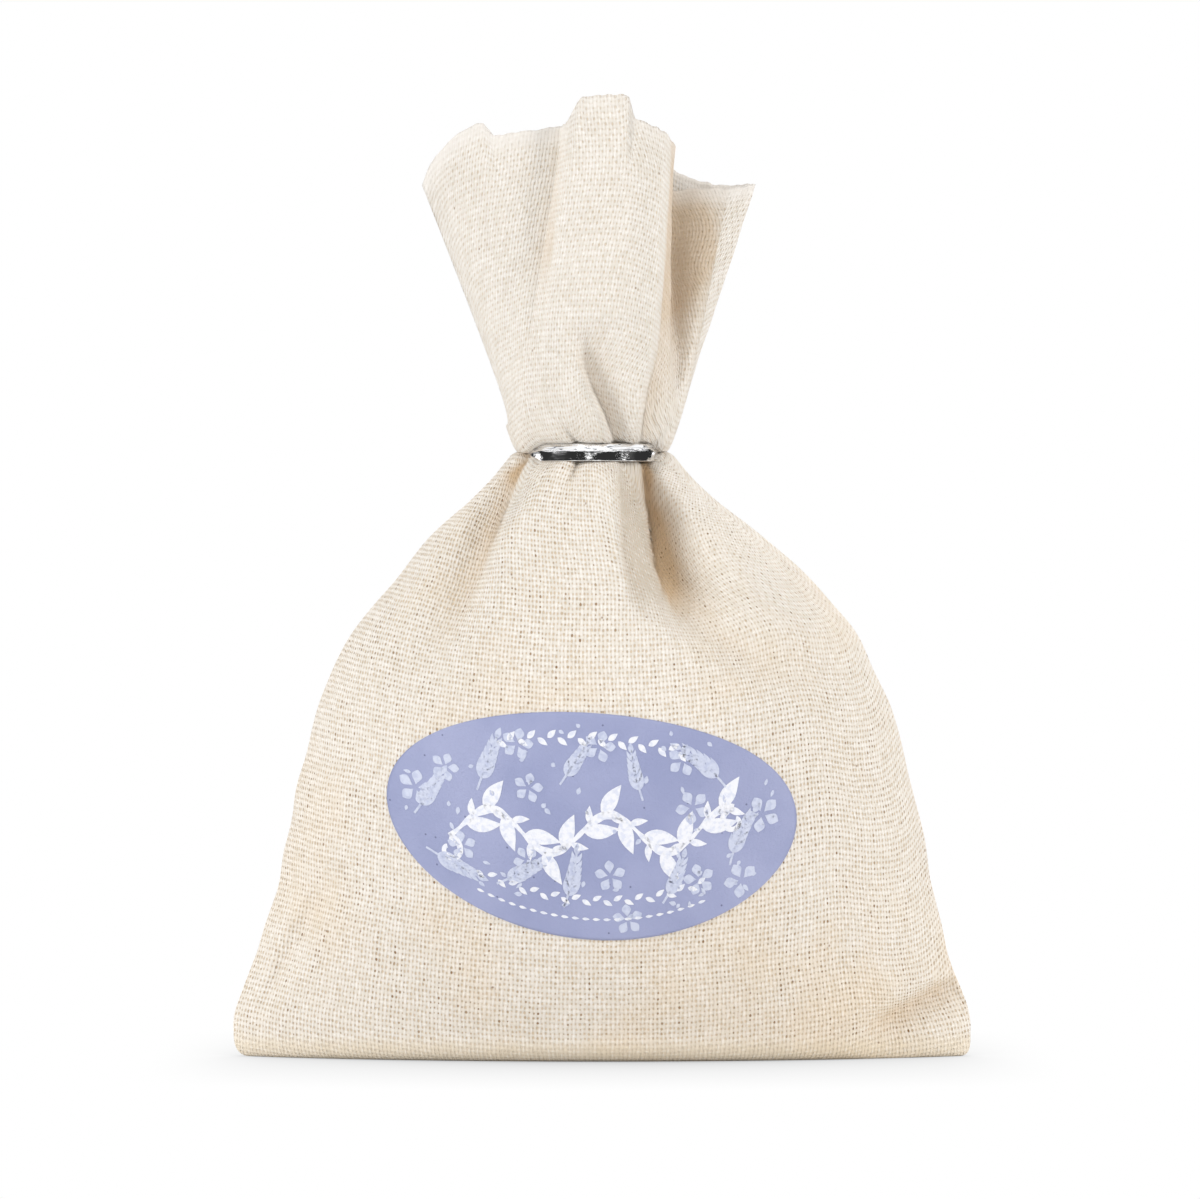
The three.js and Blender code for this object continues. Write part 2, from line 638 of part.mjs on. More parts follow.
const tieLayers = [
  ["outer_film", outerFilmSection, foil],
  ["inner_film", innerFilmSection, foil],
  ["wire", wireSection, steel],
];
const tieTails = new THREE.Group();
sachet.add(tieTails);
for (const [layer, section, material] of tieLayers) {
  addPiece(`tie_loop_${layer}`, sweepGeometry(section, loopFrames()), material);
  addPiece(`tie_left_tail_${layer}`, sweepGeometry(section, tailFrames(-1)), material, tieTails);
  addPiece(`tie_right_tail_${layer}`, sweepGeometry(section, tailFrames(1)), material, tieTails);
}

export default sachet;
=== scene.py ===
# %% [markdown]
# # A lavender sachet
# The object is a little bag of unbleached cotton, filled with dried lavender, gathered at the neck by a
# foil twist tie and marked with an oval label. The CAD part gives the sizes and what moves. This lesson
# dresses it: cloth with a real weave, a printed film, crinkled foil, stitches and loose flower buds.

import math
import random

import bmesh
import bpy
import numpy as np
from mathutils import Matrix, Vector, noise
from mathutils.bvhtree import BVHTree


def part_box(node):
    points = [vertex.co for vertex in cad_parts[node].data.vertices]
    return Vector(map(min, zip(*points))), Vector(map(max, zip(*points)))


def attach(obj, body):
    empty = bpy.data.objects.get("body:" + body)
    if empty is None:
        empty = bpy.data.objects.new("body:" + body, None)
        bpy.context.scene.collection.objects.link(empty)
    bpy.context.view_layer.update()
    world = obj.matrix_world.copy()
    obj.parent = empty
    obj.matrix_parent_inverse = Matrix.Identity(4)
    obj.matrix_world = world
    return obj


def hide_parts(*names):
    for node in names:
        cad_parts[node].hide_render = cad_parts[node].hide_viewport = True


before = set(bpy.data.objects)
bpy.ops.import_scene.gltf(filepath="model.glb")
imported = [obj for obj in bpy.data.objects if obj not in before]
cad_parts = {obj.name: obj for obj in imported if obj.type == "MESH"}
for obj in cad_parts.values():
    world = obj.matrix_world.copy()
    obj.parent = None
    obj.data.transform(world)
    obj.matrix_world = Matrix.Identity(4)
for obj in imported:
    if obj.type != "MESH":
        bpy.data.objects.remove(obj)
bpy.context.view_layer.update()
MM = 0.001

# %% [markdown]
# ## Sizes from the frame
# A dressed part has to fit its CAD part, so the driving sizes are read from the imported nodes, and only
# what the nodes can't tell, such as how a fold runs, is written here. All shape work is in millimetres
# and turned into metres when a mesh is written.

# %% Read the driving sizes
def node_box(name):
    low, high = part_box(name)
    return np.array(low) / MM, np.array(high) / MM


front_low, front_high = node_box("front_panel")
_, back_high = node_box("back_panel")
wire_low, wire_high = node_box("tie_loop_wire")

HALF_WIDTH = (front_high[0] - front_low[0]) / 2
HALF_DEPTH = back_high[1]
TIE_Z = (wire_low[2] + wire_high[2]) / 2
NECK_X = (wire_low[0] + wire_high[0]) / 2
TOP_Z = back_high[2]
WIRE = 0.45
LOOP_RADIUS = (wire_high[0] - wire_low[0] - WIRE) / 2
CLOTH = 0.45
print(f"half width {HALF_WIDTH:.1f}, half depth {HALF_DEPTH:.1f}, tie at {TIE_Z:.1f}, top at {TOP_Z:.1f} mm")

# %% [markdown]
# ## Camera, floor and light
# The photograph was taken from straight ahead through a long lens, so the camera stands far off and level.
# The floor and the world are white to the camera. The floor darkens only where something stands close to
# it, which keeps a soft contact shadow. A lamp on each side, the left one stronger, rakes over the folds,
# one above lights the shoulders and a weaker one lights the back.

# %% Camera
PHOTO_WIDTH_PX, PHOTO_HEIGHT_PX = 1200, 1199
PHOTO_MM_PER_PX = 0.13
FLOOR_LINE_PX = 1056
MIDDLE_COLUMN_PX = 602
SENSOR = 36
CAMERA_DISTANCE = 1200
CAMERA_RISE = 4

aim_x = (PHOTO_WIDTH_PX / 2 - MIDDLE_COLUMN_PX) * PHOTO_MM_PER_PX
aim_z = (FLOOR_LINE_PX - PHOTO_HEIGHT_PX / 2) * PHOTO_MM_PER_PX
scene = bpy.context.scene
scene.view_settings.view_transform = "Standard"
camera = bpy.data.objects.new("camera", bpy.data.cameras.new("camera"))
scene.collection.objects.link(camera)
camera.data.sensor_width = SENSOR
camera.data.lens = SENSOR * CAMERA_DISTANCE / (PHOTO_WIDTH_PX * PHOTO_MM_PER_PX)
camera.location = Vector((aim_x, -CAMERA_DISTANCE, aim_z + CAMERA_RISE)) * MM
target = Vector((aim_x, 0, aim_z)) * MM
camera.rotation_euler = (target - camera.location).to_track_quat("-Z", "Y").to_euler()
camera.data.clip_start, camera.data.clip_end = 0.05, 20
scene.camera = camera
print(f"lens {camera.data.lens:.0f} mm")


# %% Sums of node values
class Value:
    """What a node gives, to be used in plain sums: each sum adds a node to the same tree."""

    def __init__(self, nodes, socket):
        self.nodes, self.socket = nodes, socket

    def __add__(self, other):
        return self.nodes.math("ADD", self, other)

    def __sub__(self, other):
        return self.nodes.math("SUBTRACT", self, other)

    def __rsub__(self, other):
        return self.nodes.math("SUBTRACT", other, self)

    def __mul__(self, other):
        return self.nodes.math("MULTIPLY", self, other)

    def __truediv__(self, other):
        return self.nodes.math("DIVIDE", self, other)

    def __pow__(self, other):
        return self.nodes.math("POWER", self, other)

    def __abs__(self):
        return self.nodes.math("ABSOLUTE", self)

    __radd__ = __add__


# %% Node helper
class Nodes:
    """Writes a node tree. Most calls add one node and return the value it gives."""

    def __init__(self, tree):
        self.tree = tree
        tree.nodes.clear()

    def add(self, kind, inputs=(), **settings):
        """Adds a node with its settings, and with inputs by name or number."""
        node = self.tree.nodes.new(kind)
        for name, value in settings.items():
            setattr(node, name, value)
        for name, value in dict(inputs).items():
            if isinstance(value, Value):
                self.tree.links.new(value.socket, node.inputs[name])
            else:
                node.inputs[name].default_value = value
        return node

    def get(self, node, name=0):
        return Value(self, node.outputs[name])

    def math(self, operation, *values):
        return self.get(self.add("ShaderNodeMath", enumerate(values), operation=operation))

    def step(self, value, start, end):
        inputs = {"Value": value, "From Min": start, "From Max": end}
        return self.get(self.add("ShaderNodeMapRange", inputs, interpolation_type="SMOOTHSTEP"), "Result")

    def mix(self, share, first, second):
        inputs = {"Factor": share, 6: first, 7: second}
        return self.get(self.add("ShaderNodeMix", inputs, data_type="RGBA"), 2)

    def vector(self, *values):
        return self.get(self.add("ShaderNodeCombineXYZ", enumerate(values)))

    def split(self, vector):
        node = self.add("ShaderNodeSeparateXYZ", {0: vector})
        return [self.get(node, axis) for axis in range(3)]

    def noise(self, vector, scale, detail=2.0, dimensions="3D", output="Fac"):
        inputs = {"Vector": vector, "Scale": scale, "Detail": detail}
        return self.get(self.add("ShaderNodeTexNoise", inputs, noise_dimensions=dimensions), output)

    def chance(self, vector):
        node = self.add("ShaderNodeTexWhiteNoise", {"Vector": vector}, noise_dimensions="2D")
        return self.get(node, "Value"), self.get(node, "Color")

    def cells(self, vector, scale, dimensions="2D"):
        """The distance to the nearest of many scattered points, and a colour of its own for each."""
        inputs = {"Vector": vector, "Scale": scale}
        node = self.add("ShaderNodeTexVoronoi", inputs, voronoi_dimensions=dimensions, feature="F1")
        return self.get(node, "Distance"), self.get(node, "Color")

    def place(self):
        return self.get(self.add("ShaderNodeTexCoord"), "Object")

    def uv(self, name):
        return self.get(self.add("ShaderNodeUVMap", uv_map=name))

    def attribute(self, name):
        return self.get(self.add("ShaderNodeAttribute", attribute_name=name), "Fac")

    def bump(self, height, distance, strength=1.0):
        inputs = {"Strength": strength, "Distance": distance, "Height": height}
        return self.get(self.add("ShaderNodeBump", inputs))

    def finish(self, shader, kind="ShaderNodeOutputMaterial"):
        self.add(kind, {0: self.get(shader)})

    def surface(self, **sockets):
        inputs = {name.replace("_", " "): value for name, value in sockets.items()}
        self.finish(self.add("ShaderNodeBsdfPrincipled", inputs))


# %% Colours and materials
def colour(red, green, blue):
    """A colour as seen on screen, 0 to 255, as the linear values that shaders use."""

    def linear(value):
        share = value / 255
        return share / 12.92 if share <= 0.04045 else ((share + 0.055) / 1.055) ** 2.4

    return (linear(red), linear(green), linear(blue), 1.0)


def new_material(name):
    material = bpy.data.materials.new(name)
    material.use_nodes = True
    return material, Nodes(material.node_tree)


# %% Floor, world and lamps
CONTACT_REACH = 60
CONTACT_SHADE = 0.46
CONTACT_FADE, CONTACT_END = 42, 60
PAPER = 0.9
WORLD_LEVEL = 0.535


def seen_directly(n):
    """1 for camera, mirror and glass rays, which see the plain white studio."""
    path = n.add("ShaderNodeLightPath")
    direct = n.math("MAXIMUM", n.get(path, "Is Camera Ray"), n.get(path, "Is Glossy Ray"))
    return n.math("MAXIMUM", direct, n.get(path, "Is Transmission Ray"))


def floor_material():
    material, n = new_material("studio_floor")
    shade = n.add("ShaderNodeAmbientOcclusion", {"Distance": CONTACT_REACH * MM}, samples=16)
    near = n.step(abs(n.split(n.place())[0]), CONTACT_END * MM, CONTACT_FADE * MM)
    level = 1.0 - (1.0 - n.get(shade, "AO")) * CONTACT_SHADE * near
    glow = n.add("ShaderNodeEmission", {"Color": n.vector(level, level, level)})
    paper = n.add("ShaderNodeBsdfDiffuse", {"Color": (PAPER, PAPER, PAPER, 1)})
    n.finish(n.add("ShaderNodeMixShader", {0: seen_directly(n), 1: n.get(paper), 2: n.get(glow)}))
    return material


def mesh_object(name, bm, material, smooth_faces=True):
    for face in bm.faces:
        face.smooth = smooth_faces
    mesh = bpy.data.meshes.new(name)
    bm.to_mesh(mesh)
    bm.free()
    obj = bpy.data.objects.new(name, mesh)
    scene.collection.objects.link(obj)
    mesh.materials.append(material)
    return obj


floor_shape = bmesh.new()
bmesh.ops.create_grid(floor_shape, x_segments=1, y_segments=1, size=3)
floor = mesh_object("floor", floor_shape, floor_material(), smooth_faces=False)

world = bpy.data.worlds.new("studio")
scene.world = world
world.use_nodes = True
sky = Nodes(world.node_tree)
strength = WORLD_LEVEL + seen_directly(sky) * (1 - WORLD_LEVEL)
background = sky.add("ShaderNodeBackground", {"Strength": strength, "Color": (1, 1, 1, 1)})
sky.finish(background, "ShaderNodeOutputWorld")

LAMP_AIM = Vector((0, 0, 0.06))


def lamp(name, place, size, watts, tint=(1, 1, 1)):
    light = bpy.data.lights.new(name, "AREA")
    light.size = size
    light.energy = watts
    light.color = tint
    obj = bpy.data.objects.new(name, light)
    scene.collection.objects.link(obj)
    obj.location = place
    obj.rotation_euler = (LAMP_AIM - obj.location).to_track_quat("-Z", "Y").to_euler()


lamp("key", (-1.15, -0.63, 0.43), 0.45, 7.3)
lamp("fill", (1.15, -0.6, 0.36), 0.45, 6.1, (1, 0.98, 0.96))
lamp("top", (0, -0.45, 1.3), 0.8, 3.4)
lamp("rim", (0.2, 0.8, 0.9), 0.6, 5)

# %% [markdown]
# ## The cotton
# The cloth is a coarse plain weave: threads pass over and under each other, with tiny holes between them.
# At this distance each hole shows, so the weave is worked out thread by thread from the cloth's own UV map,
# which counts threads. Threads wander, vary in width and colour, and a few brown flecks of husk are left.
# Where the tie draws the cloth together its holes close, and on the left shoulder they are pulled wider.

# %% Weave
WARP_PITCH, WEFT_PITCH = 0.53, 0.715
THREAD_RELIEF = 0.11
# how high threads lie, and how far they are lifted where they pass over another
WARP_LEVEL, WARP_LIFT, WEFT_LEVEL, WEFT_LIFT = 0.72, 0.28, 0.52, -0.45
HOLE_WIDTH, HOLE_HEIGHT = 0.31, 0.3
HOLE_SHIFT = 0.22
# how far threads wander, across and along: slowly, and from one crossing to the next
DRIFT, JITTER = (0.7, 0.3), (0.28, 0.16)
# where the cloth changes, in metres up or across: where a change starts and where it is complete
SHOULDERS, WARMER_LOW, FOOT = (0.045, 0.06), (0.1, 0.03), (0.0035, 0.0015)
BELOW_TIE, ABOVE_TIE = (0.079, 0.077), (0.077, 0.08)
RIGHT_SIDE, ROLL_LEFT, ROLL_RIGHT = (-0.008, 0.012), (-0.006, -0.004), (0.0105, 0.0085)


def weave(n, uv, close, loose, filled):
    """Relief of a plain weave and the holes in it, from a UV map that counts threads. Where the cloth is
    drawn close, every other hole is nearly shut, and where it is pulled loose the holes are wider."""
    drift = n.split(n.noise(uv, 0.05, 1.0, "2D", "Color"))
    jitter = n.split(n.noise(uv, 0.45, 1.0, "2D", "Color"))
    moves = zip(n.split(uv), drift, DRIFT, jitter, JITTER)
    u, v = [at + (slow - 0.5) * far + (quick - 0.5) * near for at, slow, far, quick, near in moves]
    over = n.math("COSINE", (u - 0.5) * math.pi) * n.math("COSINE", (v - 0.5) * math.pi)

    def thread(place, level, lifted):
        offset = n.math("FRACT", place) - 0.5
        return (1.0 - offset * offset * 4.0) * (level + over * lifted)

    height = n.math("MAXIMUM", thread(u, WARP_LEVEL, WARP_LIFT), thread(v, WEFT_LEVEL, WEFT_LIFT))
    warp, weft = n.math("FLOOR", u), n.math("FLOOR", v)
    slub = n.noise(n.vector(warp, v * 0.09), 1.0, 1.0, "2D")
    slub_weft = n.noise(n.vector(u * 0.09, weft), 1.0, 1.0, "2D")
    column, row = n.math("ROUND", u), n.math("ROUND", v)
    chance, shift = n.chance(n.vector(column, row))
    shift_u, shift_v, spread = n.split(shift)
    spread = 0.65 + spread * 0.6 + loose * 0.12

    def off_middle(place, knot, shift, size, slub):
        off = place - knot - (shift - 0.5) * HOLE_SHIFT
        return (abs(off) / (spread * (size - slub * 0.14))) ** 2.0

    squares = off_middle(u, column, shift_u, HOLE_WIDTH, slub)
    squares = squares + off_middle(v, row, shift_v, HOLE_HEIGHT, slub_weft)
    every_other = abs(n.math("SINE", (column + row) * (math.pi / 2)))
    hole = n.step(squares, 1.6, 0.3) * (1.0 - every_other * close * 0.65)
    line = n.noise(n.vector(column * 7.3, v * 0.07), 1.0, 1.0, "2D")
    open_share = chance**1.2 * n.step(line, 0.4, 0.72) * (0.25 + filled * 0.75)
    pearl, _ = n.chance(n.vector(warp + 0.37, weft))
    fibre = n.noise(n.vector(u, v * 0.7), 2.3, 2.0, "2D")
    tone = (slub + slub_weft) * 0.3 + (pearl + fibre) * 0.2
    # crowns of some threads, which get a painted highlight
    painted_crown_highlight = n.step(height, 0.7, 0.95) * n.step(pearl, 0.4, 0.9)
    return height, hole, open_share, painted_crown_highlight, tone, u, v


# %% Cotton material
def cotton_material():
    material, n = new_material("unbleached_cotton")
    place = n.place()
    x, _, z = n.split(place)
    high = n.step(z, *SHOULDERS)
    close = high * n.math("MAXIMUM", n.step(x, *RIGHT_SIDE), n.step(z, *ABOVE_TIE))
    loose = high - close
    filled = n.step(z, *BELOW_TIE)
    low = n.step(z, *FOOT)
    height, hole, open_share, painted_crown_highlight, tone, u, v = weave(n, n.uv("threads"), close, loose, filled)
    # painted shade of the folds and of the pleat facets, read from the panels' vertices
    painted_fold_shade, facet = n.attribute("painted_fold_shade"), n.attribute("facet")
    roll = n.step(x, *ROLL_LEFT) * n.step(x, *ROLL_RIGHT)
    raw = n.step(n.attribute("near_edge"), 0.0, 0.82) * (1.0 - roll * 0.65)
    # the cloth turns warmer and yellower towards the bottom, in patches
    warmer_low = (0.1 + n.step(n.noise(place, 45.0, 3.0), 0.45, 0.75) * 0.5) * n.step(z, *WARMER_LOW)
    # colour seen through the holes: partly the filling and cloth behind, partly painted shade of the dim
    # inside
    gap = n.mix(open_share, colour(219, 192, 153), colour(144, 108, 66))
    shown = 0.6 + n.math("MAXIMUM", open_share, loose * 0.1) * 0.4
    shown = shown * (0.75 + filled * 0.25) * (1.0 - n.math("MAXIMUM", raw, low) * 0.85)
    distance, picked = n.cells(n.vector(u, v * 1.3), 0.085)
    husk = n.step(distance, 0.035, 0.01) * n.step(n.split(picked)[0], 0.75, 0.8)
    thread = n.mix(n.step(tone, 0.25, 0.75), colour(232, 225, 214), colour(243, 238, 231))
    layers = [
        (warmer_low, colour(236, 216, 188)),
        # painted shade deep in the folds, warm
        (painted_fold_shade**2.2 * 0.82, colour(206, 172, 128)),
        # painted shade on the facets of pleats, and the painted shadow of the roll on the right flap
        (facet * 0.5, colour(188, 173, 152)),
        # painted shade in the grooves between threads
        (n.step(height, 0.8, 0.3) * 0.2, colour(216, 197, 170)),
        (low * 0.5, colour(240, 224, 196)),
        # painted highlight on the crowns of threads, weaker deep in the folds
        (painted_crown_highlight * (0.45 - painted_fold_shade * 0.4), colour(252, 248, 242)),
        (hole * shown, gap),
        (raw * 0.6, colour(237, 232, 226)),
        (husk * 0.7, colour(140, 104, 66)),
    ]
    for share, tint in layers:
        thread = n.mix(share, thread, tint)
    relief = (height - hole) * (1.0 - raw * 0.6)
    n.surface(
        Base_Color=thread,
        Roughness=0.92,
        Normal=n.bump(relief, THREAD_RELIEF * MM, 0.9),
        Specular_IOR_Level=0.2,
        Sheen_Weight=0.12,
        Sheen_Roughness=0.6,
    )
    return material


cotton = cotton_material()

# %% [markdown]
# ## The bag's shape
# The bag is two flat panels of cloth, sewn at the sides and the bottom, so each is made as one grid from the
# bottom seam to the raw mouth. Its rows climb: across the floor, round the bottom edge, up the filled belly,
# in under the tie and out again into the tuft. A few smooth curves give the section at each height.

# %% Curves and tables of points
TINY = 1e-9


def curve(*rows):
    """Smooth function through rows of numbers, looked up by each row's first number."""
    given = np.array(sorted(rows), float)
    knots, values = given[:, 0], given[:, 1:]
    slopes = np.gradient(values, knots, axis=0)

    def at(place):
        place = np.clip(np.asarray(place, float), knots[0], knots[-1])
        i = np.clip(np.searchsorted(knots, place) - 1, 0, len(knots) - 2)
        span = (knots[i + 1] - knots[i])[..., None]
        s = (place - knots[i])[..., None] / span
        rise = s * s * (3 - 2 * s)
        bend = s * (1 - s) * ((1 - s) * slopes[i] - s * slopes[i + 1]) * span
        result = values[i] + (values[i + 1] - values[i]) * rise + bend
        return np.moveaxis(result, -1, 0)

    return at


def smooth(value, start, end):
    share = np.clip((np.asarray(value, float) - start) / (end - start), 0, 1)
    return share * share * (3 - 2 * share)


def table(*columns):
    """Rows of points from their columns, where a single number fills a column."""
    return np.stack(np.broadcast_arrays(*columns), -1)


def unit(vectors):
    return vectors / np.maximum(np.linalg.norm(vectors, axis=-1, keepdims=True), TINY)


def heading(line):
    return unit(np.gradient(line, axis=0))


def measured(points, axis=0):
    """How far along its line each point lies, for lines that run along one axis of a table."""
    steps = np.linalg.norm(np.diff(points, axis=axis), axis=-1)
    return np.insert(np.cumsum(steps, axis=axis), 0, 0, axis=axis)


# %% Sections of the bag
PINCH_RADIUS = LOOP_RADIUS - 1.1
PINCH_HALF = 1.25
LOW_REACH, LOW_WIDTH, LOW_DEPTH = 3.0, PINCH_RADIUS + 5.0, PINCH_RADIUS + 2.6
HIGH_REACH, HIGH_WIDTH, HIGH_DEPTH = 3.5, PINCH_RADIUS + 3.6, PINCH_RADIUS + 2.6
# each half of the neck, with how quickly it swells out
LOW_NECK = (LOW_WIDTH, LOW_DEPTH, LOW_REACH, 0.8)
HIGH_NECK = (HIGH_WIDTH, HIGH_DEPTH, HIGH_REACH, 0.6)
LEFT_LIP, RIGHT_LIP = (-0.95, -0.7), (1.0, 0.86)
PRESSED_FOLDS = 0.55
NECK_LOW = TIE_Z - LOW_REACH
FLOOR_ROUND = 3.2
FLAT_WIDTH, FLAT_DEPTH = 0.955, 0.58
LEFT_CORNER, RIGHT_CORNER, CORNER_REACH = 0.3, 0.6, 0.16
SEAM_SHIFT = CLOTH / 2 + 0.005

# height as a share of the tie's, half width, half depth, and how the panels meet at the seams: 1 is round
section = curve(
    (0.0, 0.985, 0.7, 1.75), (0.05, 1.0, 0.78, 1.75), (0.11, 0.978, 0.87, 1.75), (0.18, 0.93, 0.94, 1.7),
    (0.27, 0.893, 0.99, 1.6), (0.38, 0.855, 1.0, 1.5), (0.5, 0.808, 0.985, 1.45), (0.6, 0.762, 0.935, 1.45),
    (0.7, 0.678, 0.84, 1.45), (0.79, 0.56, 0.7, 1.4), (0.87, 0.43, 0.56, 1.3), (0.925, 0.32, 0.475, 1.15),
    (NECK_LOW / TIE_Z, LOW_WIDTH / HALF_WIDTH, LOW_DEPTH / HALF_DEPTH, 1.0),
)

BELLY_SHIFT = 0.4
BELLY_START, SHOULDER_FADE = (14, 22), (60, 74)
SHOULDER_SHIFT, SHOULDER_Z, SHOULDER_REACH = 0.5, 61, 7


def middle_at(z):
    lean = NECK_X * smooth(z, TIE_Z / 2, TIE_Z)
    belly = BELLY_SHIFT * (smooth(z, *BELLY_START) - smooth(z, *SHOULDER_FADE))
    return lean + belly + SHOULDER_SHIFT * np.exp(-(((z - SHOULDER_Z) / SHOULDER_REACH) ** 2))


# %% [markdown]
# ## Folds
# The tie gathers the cloth into folds that run down over the shoulders and up into the tuft. A fold here is
# a line that the cloth is drawn in along, with its own width on each side: where one side is narrow and the
# other wide, the narrow side stands like the edge of a pleat and throws a shadow into the fold.

# %% Fold lines of the front
FRONT, BACK = -1, 1


def crease(*rows):
    """A fold without a facet, from rows of height, place across, depth, left width and right width."""
    return curve(*[(height, place, 0, 1, *sizes) for height, place, *sizes in rows])


front_folds = [
    # the deep fold right of the middle, with the facet of a pleat on its left
    # rows: height, place across, facet depth, facet width, depth, left width, right width
    curve(
        (45, 29, 0, 5, 0, 5, 8), (49, 23, 0, 5, 1.0, 3.4, 8.5), (52, 17.5, 0.1, 5, 1.9, 2.8, 9),
        (56, 10.6, 0.6, 5, 2.7, 1.8, 8.5), (58.5, 8.8, 2.4, 4.9, 3.3, 1.0, 7.4),
        (62, 7.2, 4.8, 4.6, 4.0, 0.4, 6.2), (65, 6.4, 5.6, 4.3, 4.0, 0.3, 5.5),
        (69.7, 5.9, 5.2, 4.0, 3.6, 0.3, 4.6), (73.6, 5.3, 3.8, 3.6, 2.8, 0.3, 3.0),
        (77.4, 4.9, 2.2, 3.3, 1.8, 0.25, 1.8),
    ),
    # small tuck under the tie
    crease((73, -4.5, 0, 1.6, 1.6), (75.1, -3.9, 0.9, 0.7, 1.2), (77.2, -3.25, 1.7, 0.4, 0.7)),
    # long valley down the left shoulder, steep towards the middle
    crease(
        (43, -25, 0, 9, 7), (52.8, -20.4, 1.8, 6, 4.0), (60.8, -16.4, 3.6, 5, 1.3),
        (67.4, -13.7, 5.0, 4.4, 0.6), (72.5, -11.7, 4.8, 3.6, 0.45), (76.3, -10.0, 3.4, 3, 0.45),
        (77.4, -9.4, 2.6, 2, 0.4),
    ),
]
front_tuft_folds = [
    # the front roll is pushed in on its right above the tie
    crease(
        (79.6, 1.5, 2.6, 0.3, 1.8), (80.6, 1.2, 2.8, 0.35, 2.2), (83.9, -0.1, 3.2, 0.4, 3.2),
        (87.2, -1.6, 3.2, 0.5, 4.2), (90.5, -2.3, 2.5, 0.8, 5), (92.6, -2.1, 1.6, 1.3, 5.4),
        (96, -0.5, 0, 2.2, 5),
    ),
    # soft fold where the left lobe passes behind the roll
    crease(
        (84, -8.6, 0.2, 2.2, 0.5), (91.8, -7.9, 0.6, 2.4, 0.45), (98.3, -7.1, 0.9, 2.6, 0.4),
        (104.8, -6.3, 0.85, 2.6, 0.4), (111.3, -5.7, 0.5, 2.2, 0.4), (118, -5.1, 0.2, 1.6, 0.4),
    ),
    # crease where the right flap passes behind the roll
    crease(
        (79.6, 4.8, 2.8, 0.3, 2.4), (85.5, 5.5, 4.0, 0.35, 5), (90.5, 6.8, 4.0, 0.4, 6.5),
        (98.8, 7.8, 3.8, 0.5, 6.5), (105, 8.4, 3.2, 0.6, 6), (111, 8.8, 2.2, 0.8, 5.5),
        (116, 9, 1.2, 0.8, 5.5),
    ),
    # small tuck over the tie
    crease((79.6, -3.2, 1.3, 0.4, 0.7), (81.1, -4.3, 0.7, 0.6, 0.9), (82.6, -5, 0, 0.8, 1)),
]

# %% Fold lines of the back
back_folds = [
    crease(
        (48, 16, 0, 6, 8), (60, 8.5, 2.2, 3, 6), (67, 6, 4, 0.8, 4.5), (72, 4.6, 3.5, 0.5, 2.8),
        (77.2, 3.6, 2.2, 0.3, 1.5),
    ),
    crease((58, -3, 0, 5, 5), (66, -2.2, 2.2, 1.5, 3), (72, -1.6, 2.6, 0.6, 2), (77.2, -1.2, 1.9, 0.35, 0.9)),
    crease(
        (44, -26, 0, 8, 7), (58, -15, 2.6, 5, 3.5), (68, -9.5, 3.4, 3, 1.5), (74, -6.8, 2.6, 1.6, 0.7),
        (77.2, -5.6, 1.8, 0.8, 0.4),
    ),
]
back_tuft_folds = [
    # the back leans forward at its top, on the left and in the middle
    crease((104, -18, 0, 5, 5), (112, -18, 2.0, 5, 5), (117, -18.5, 1.2, 4.5, 4.5), (121, -18.5, 0, 4, 4)),
    crease((106, 0.5, 0, 6, 6), (114, 0.4, 2.6, 5, 5), (119, 0.2, 2.2, 4, 4), (125, 0, 0, 3, 3)),
    # two folds that rise out of the tie
    crease((79.6, 1.4, 2, 0.35, 1), (84, 2, 2.4, 0.8, 2), (90, 2.6, 1.5, 2, 3), (98, 3, 0, 3, 4)),
    crease((79.6, -4.6, 1.8, 0.9, 0.35), (85, -5.6, 2.2, 1.6, 0.7), (92, -7, 1.4, 3, 2), (100, -8, 0, 4, 3)),
]

# by side, and whether above the tie
FOLDS = {
    (FRONT, False): front_folds,
    (FRONT, True): front_tuft_folds,
    (BACK, False): back_folds,
    (BACK, True): back_tuft_folds,
}

# %% Depth of the folds
DENT_START, DENT_END = (-0.3, 0.25), (0.6, 1.3)
# soft dents beside the bottom corners: from and to, across and up, then depth and the widths above and below
corner_dents = [(45.0, 9.8, 34.5, 4.6, 3.2, 0.9, 3.6), (-36.5, 21.0, -43.5, 7.0, 1.2, 3.0, 3.0)]


def dented(x, z):
    """How far the front is pressed in by the dents at its corners."""
    total = np.zeros_like(x)
    for from_x, from_z, to_x, to_z, depth, above, below in corner_dents:
        run = np.array([to_x - from_x, to_z - from_z])
        length = np.hypot(*run)
        along = ((x - from_x) * run[0] + (z - from_z) * run[1]) / length**2
        over = z - from_z - (x - from_x) * run[1] / run[0]
        width = np.where(over > 0, above, below)
        fading = smooth(along, *DENT_START) * (1 - smooth(along, *DENT_END))
        total += depth * fading * np.exp(-((over / width) ** 2))
    return total


FACET_STEP, FACET_EDGE = 0.25, 0.15


def drawn_in(folds, x, z):
    """How far the folds draw the cloth in, at places across the bag and their heights."""
    total = dented(x, z) if folds is front_folds else np.zeros_like(x)
    for fold in folds:
        line, facet, facet_width, depth, left, right = fold(z)
        off = x - line
        total += depth * np.exp(-((off / np.where(off < 0, left, right)) ** 2))
        slope = np.clip(1 + off / facet_width, 0, 1)
        step = FACET_STEP * smooth(slope, 0, FACET_EDGE) + (1 - FACET_STEP) * slope
        total += facet * np.where(off < 0, step, np.exp(-((off / right) ** 2)))
    return total


# how strongly the corner dents give painted shade, how narrow the painted shade lies beside the steep side of
# a fold, and beside the wide side on the front below the tie
DENT_TUCK = 1.3
STEEP_TUCK, WIDE_TUCK = 0.5, 0.8


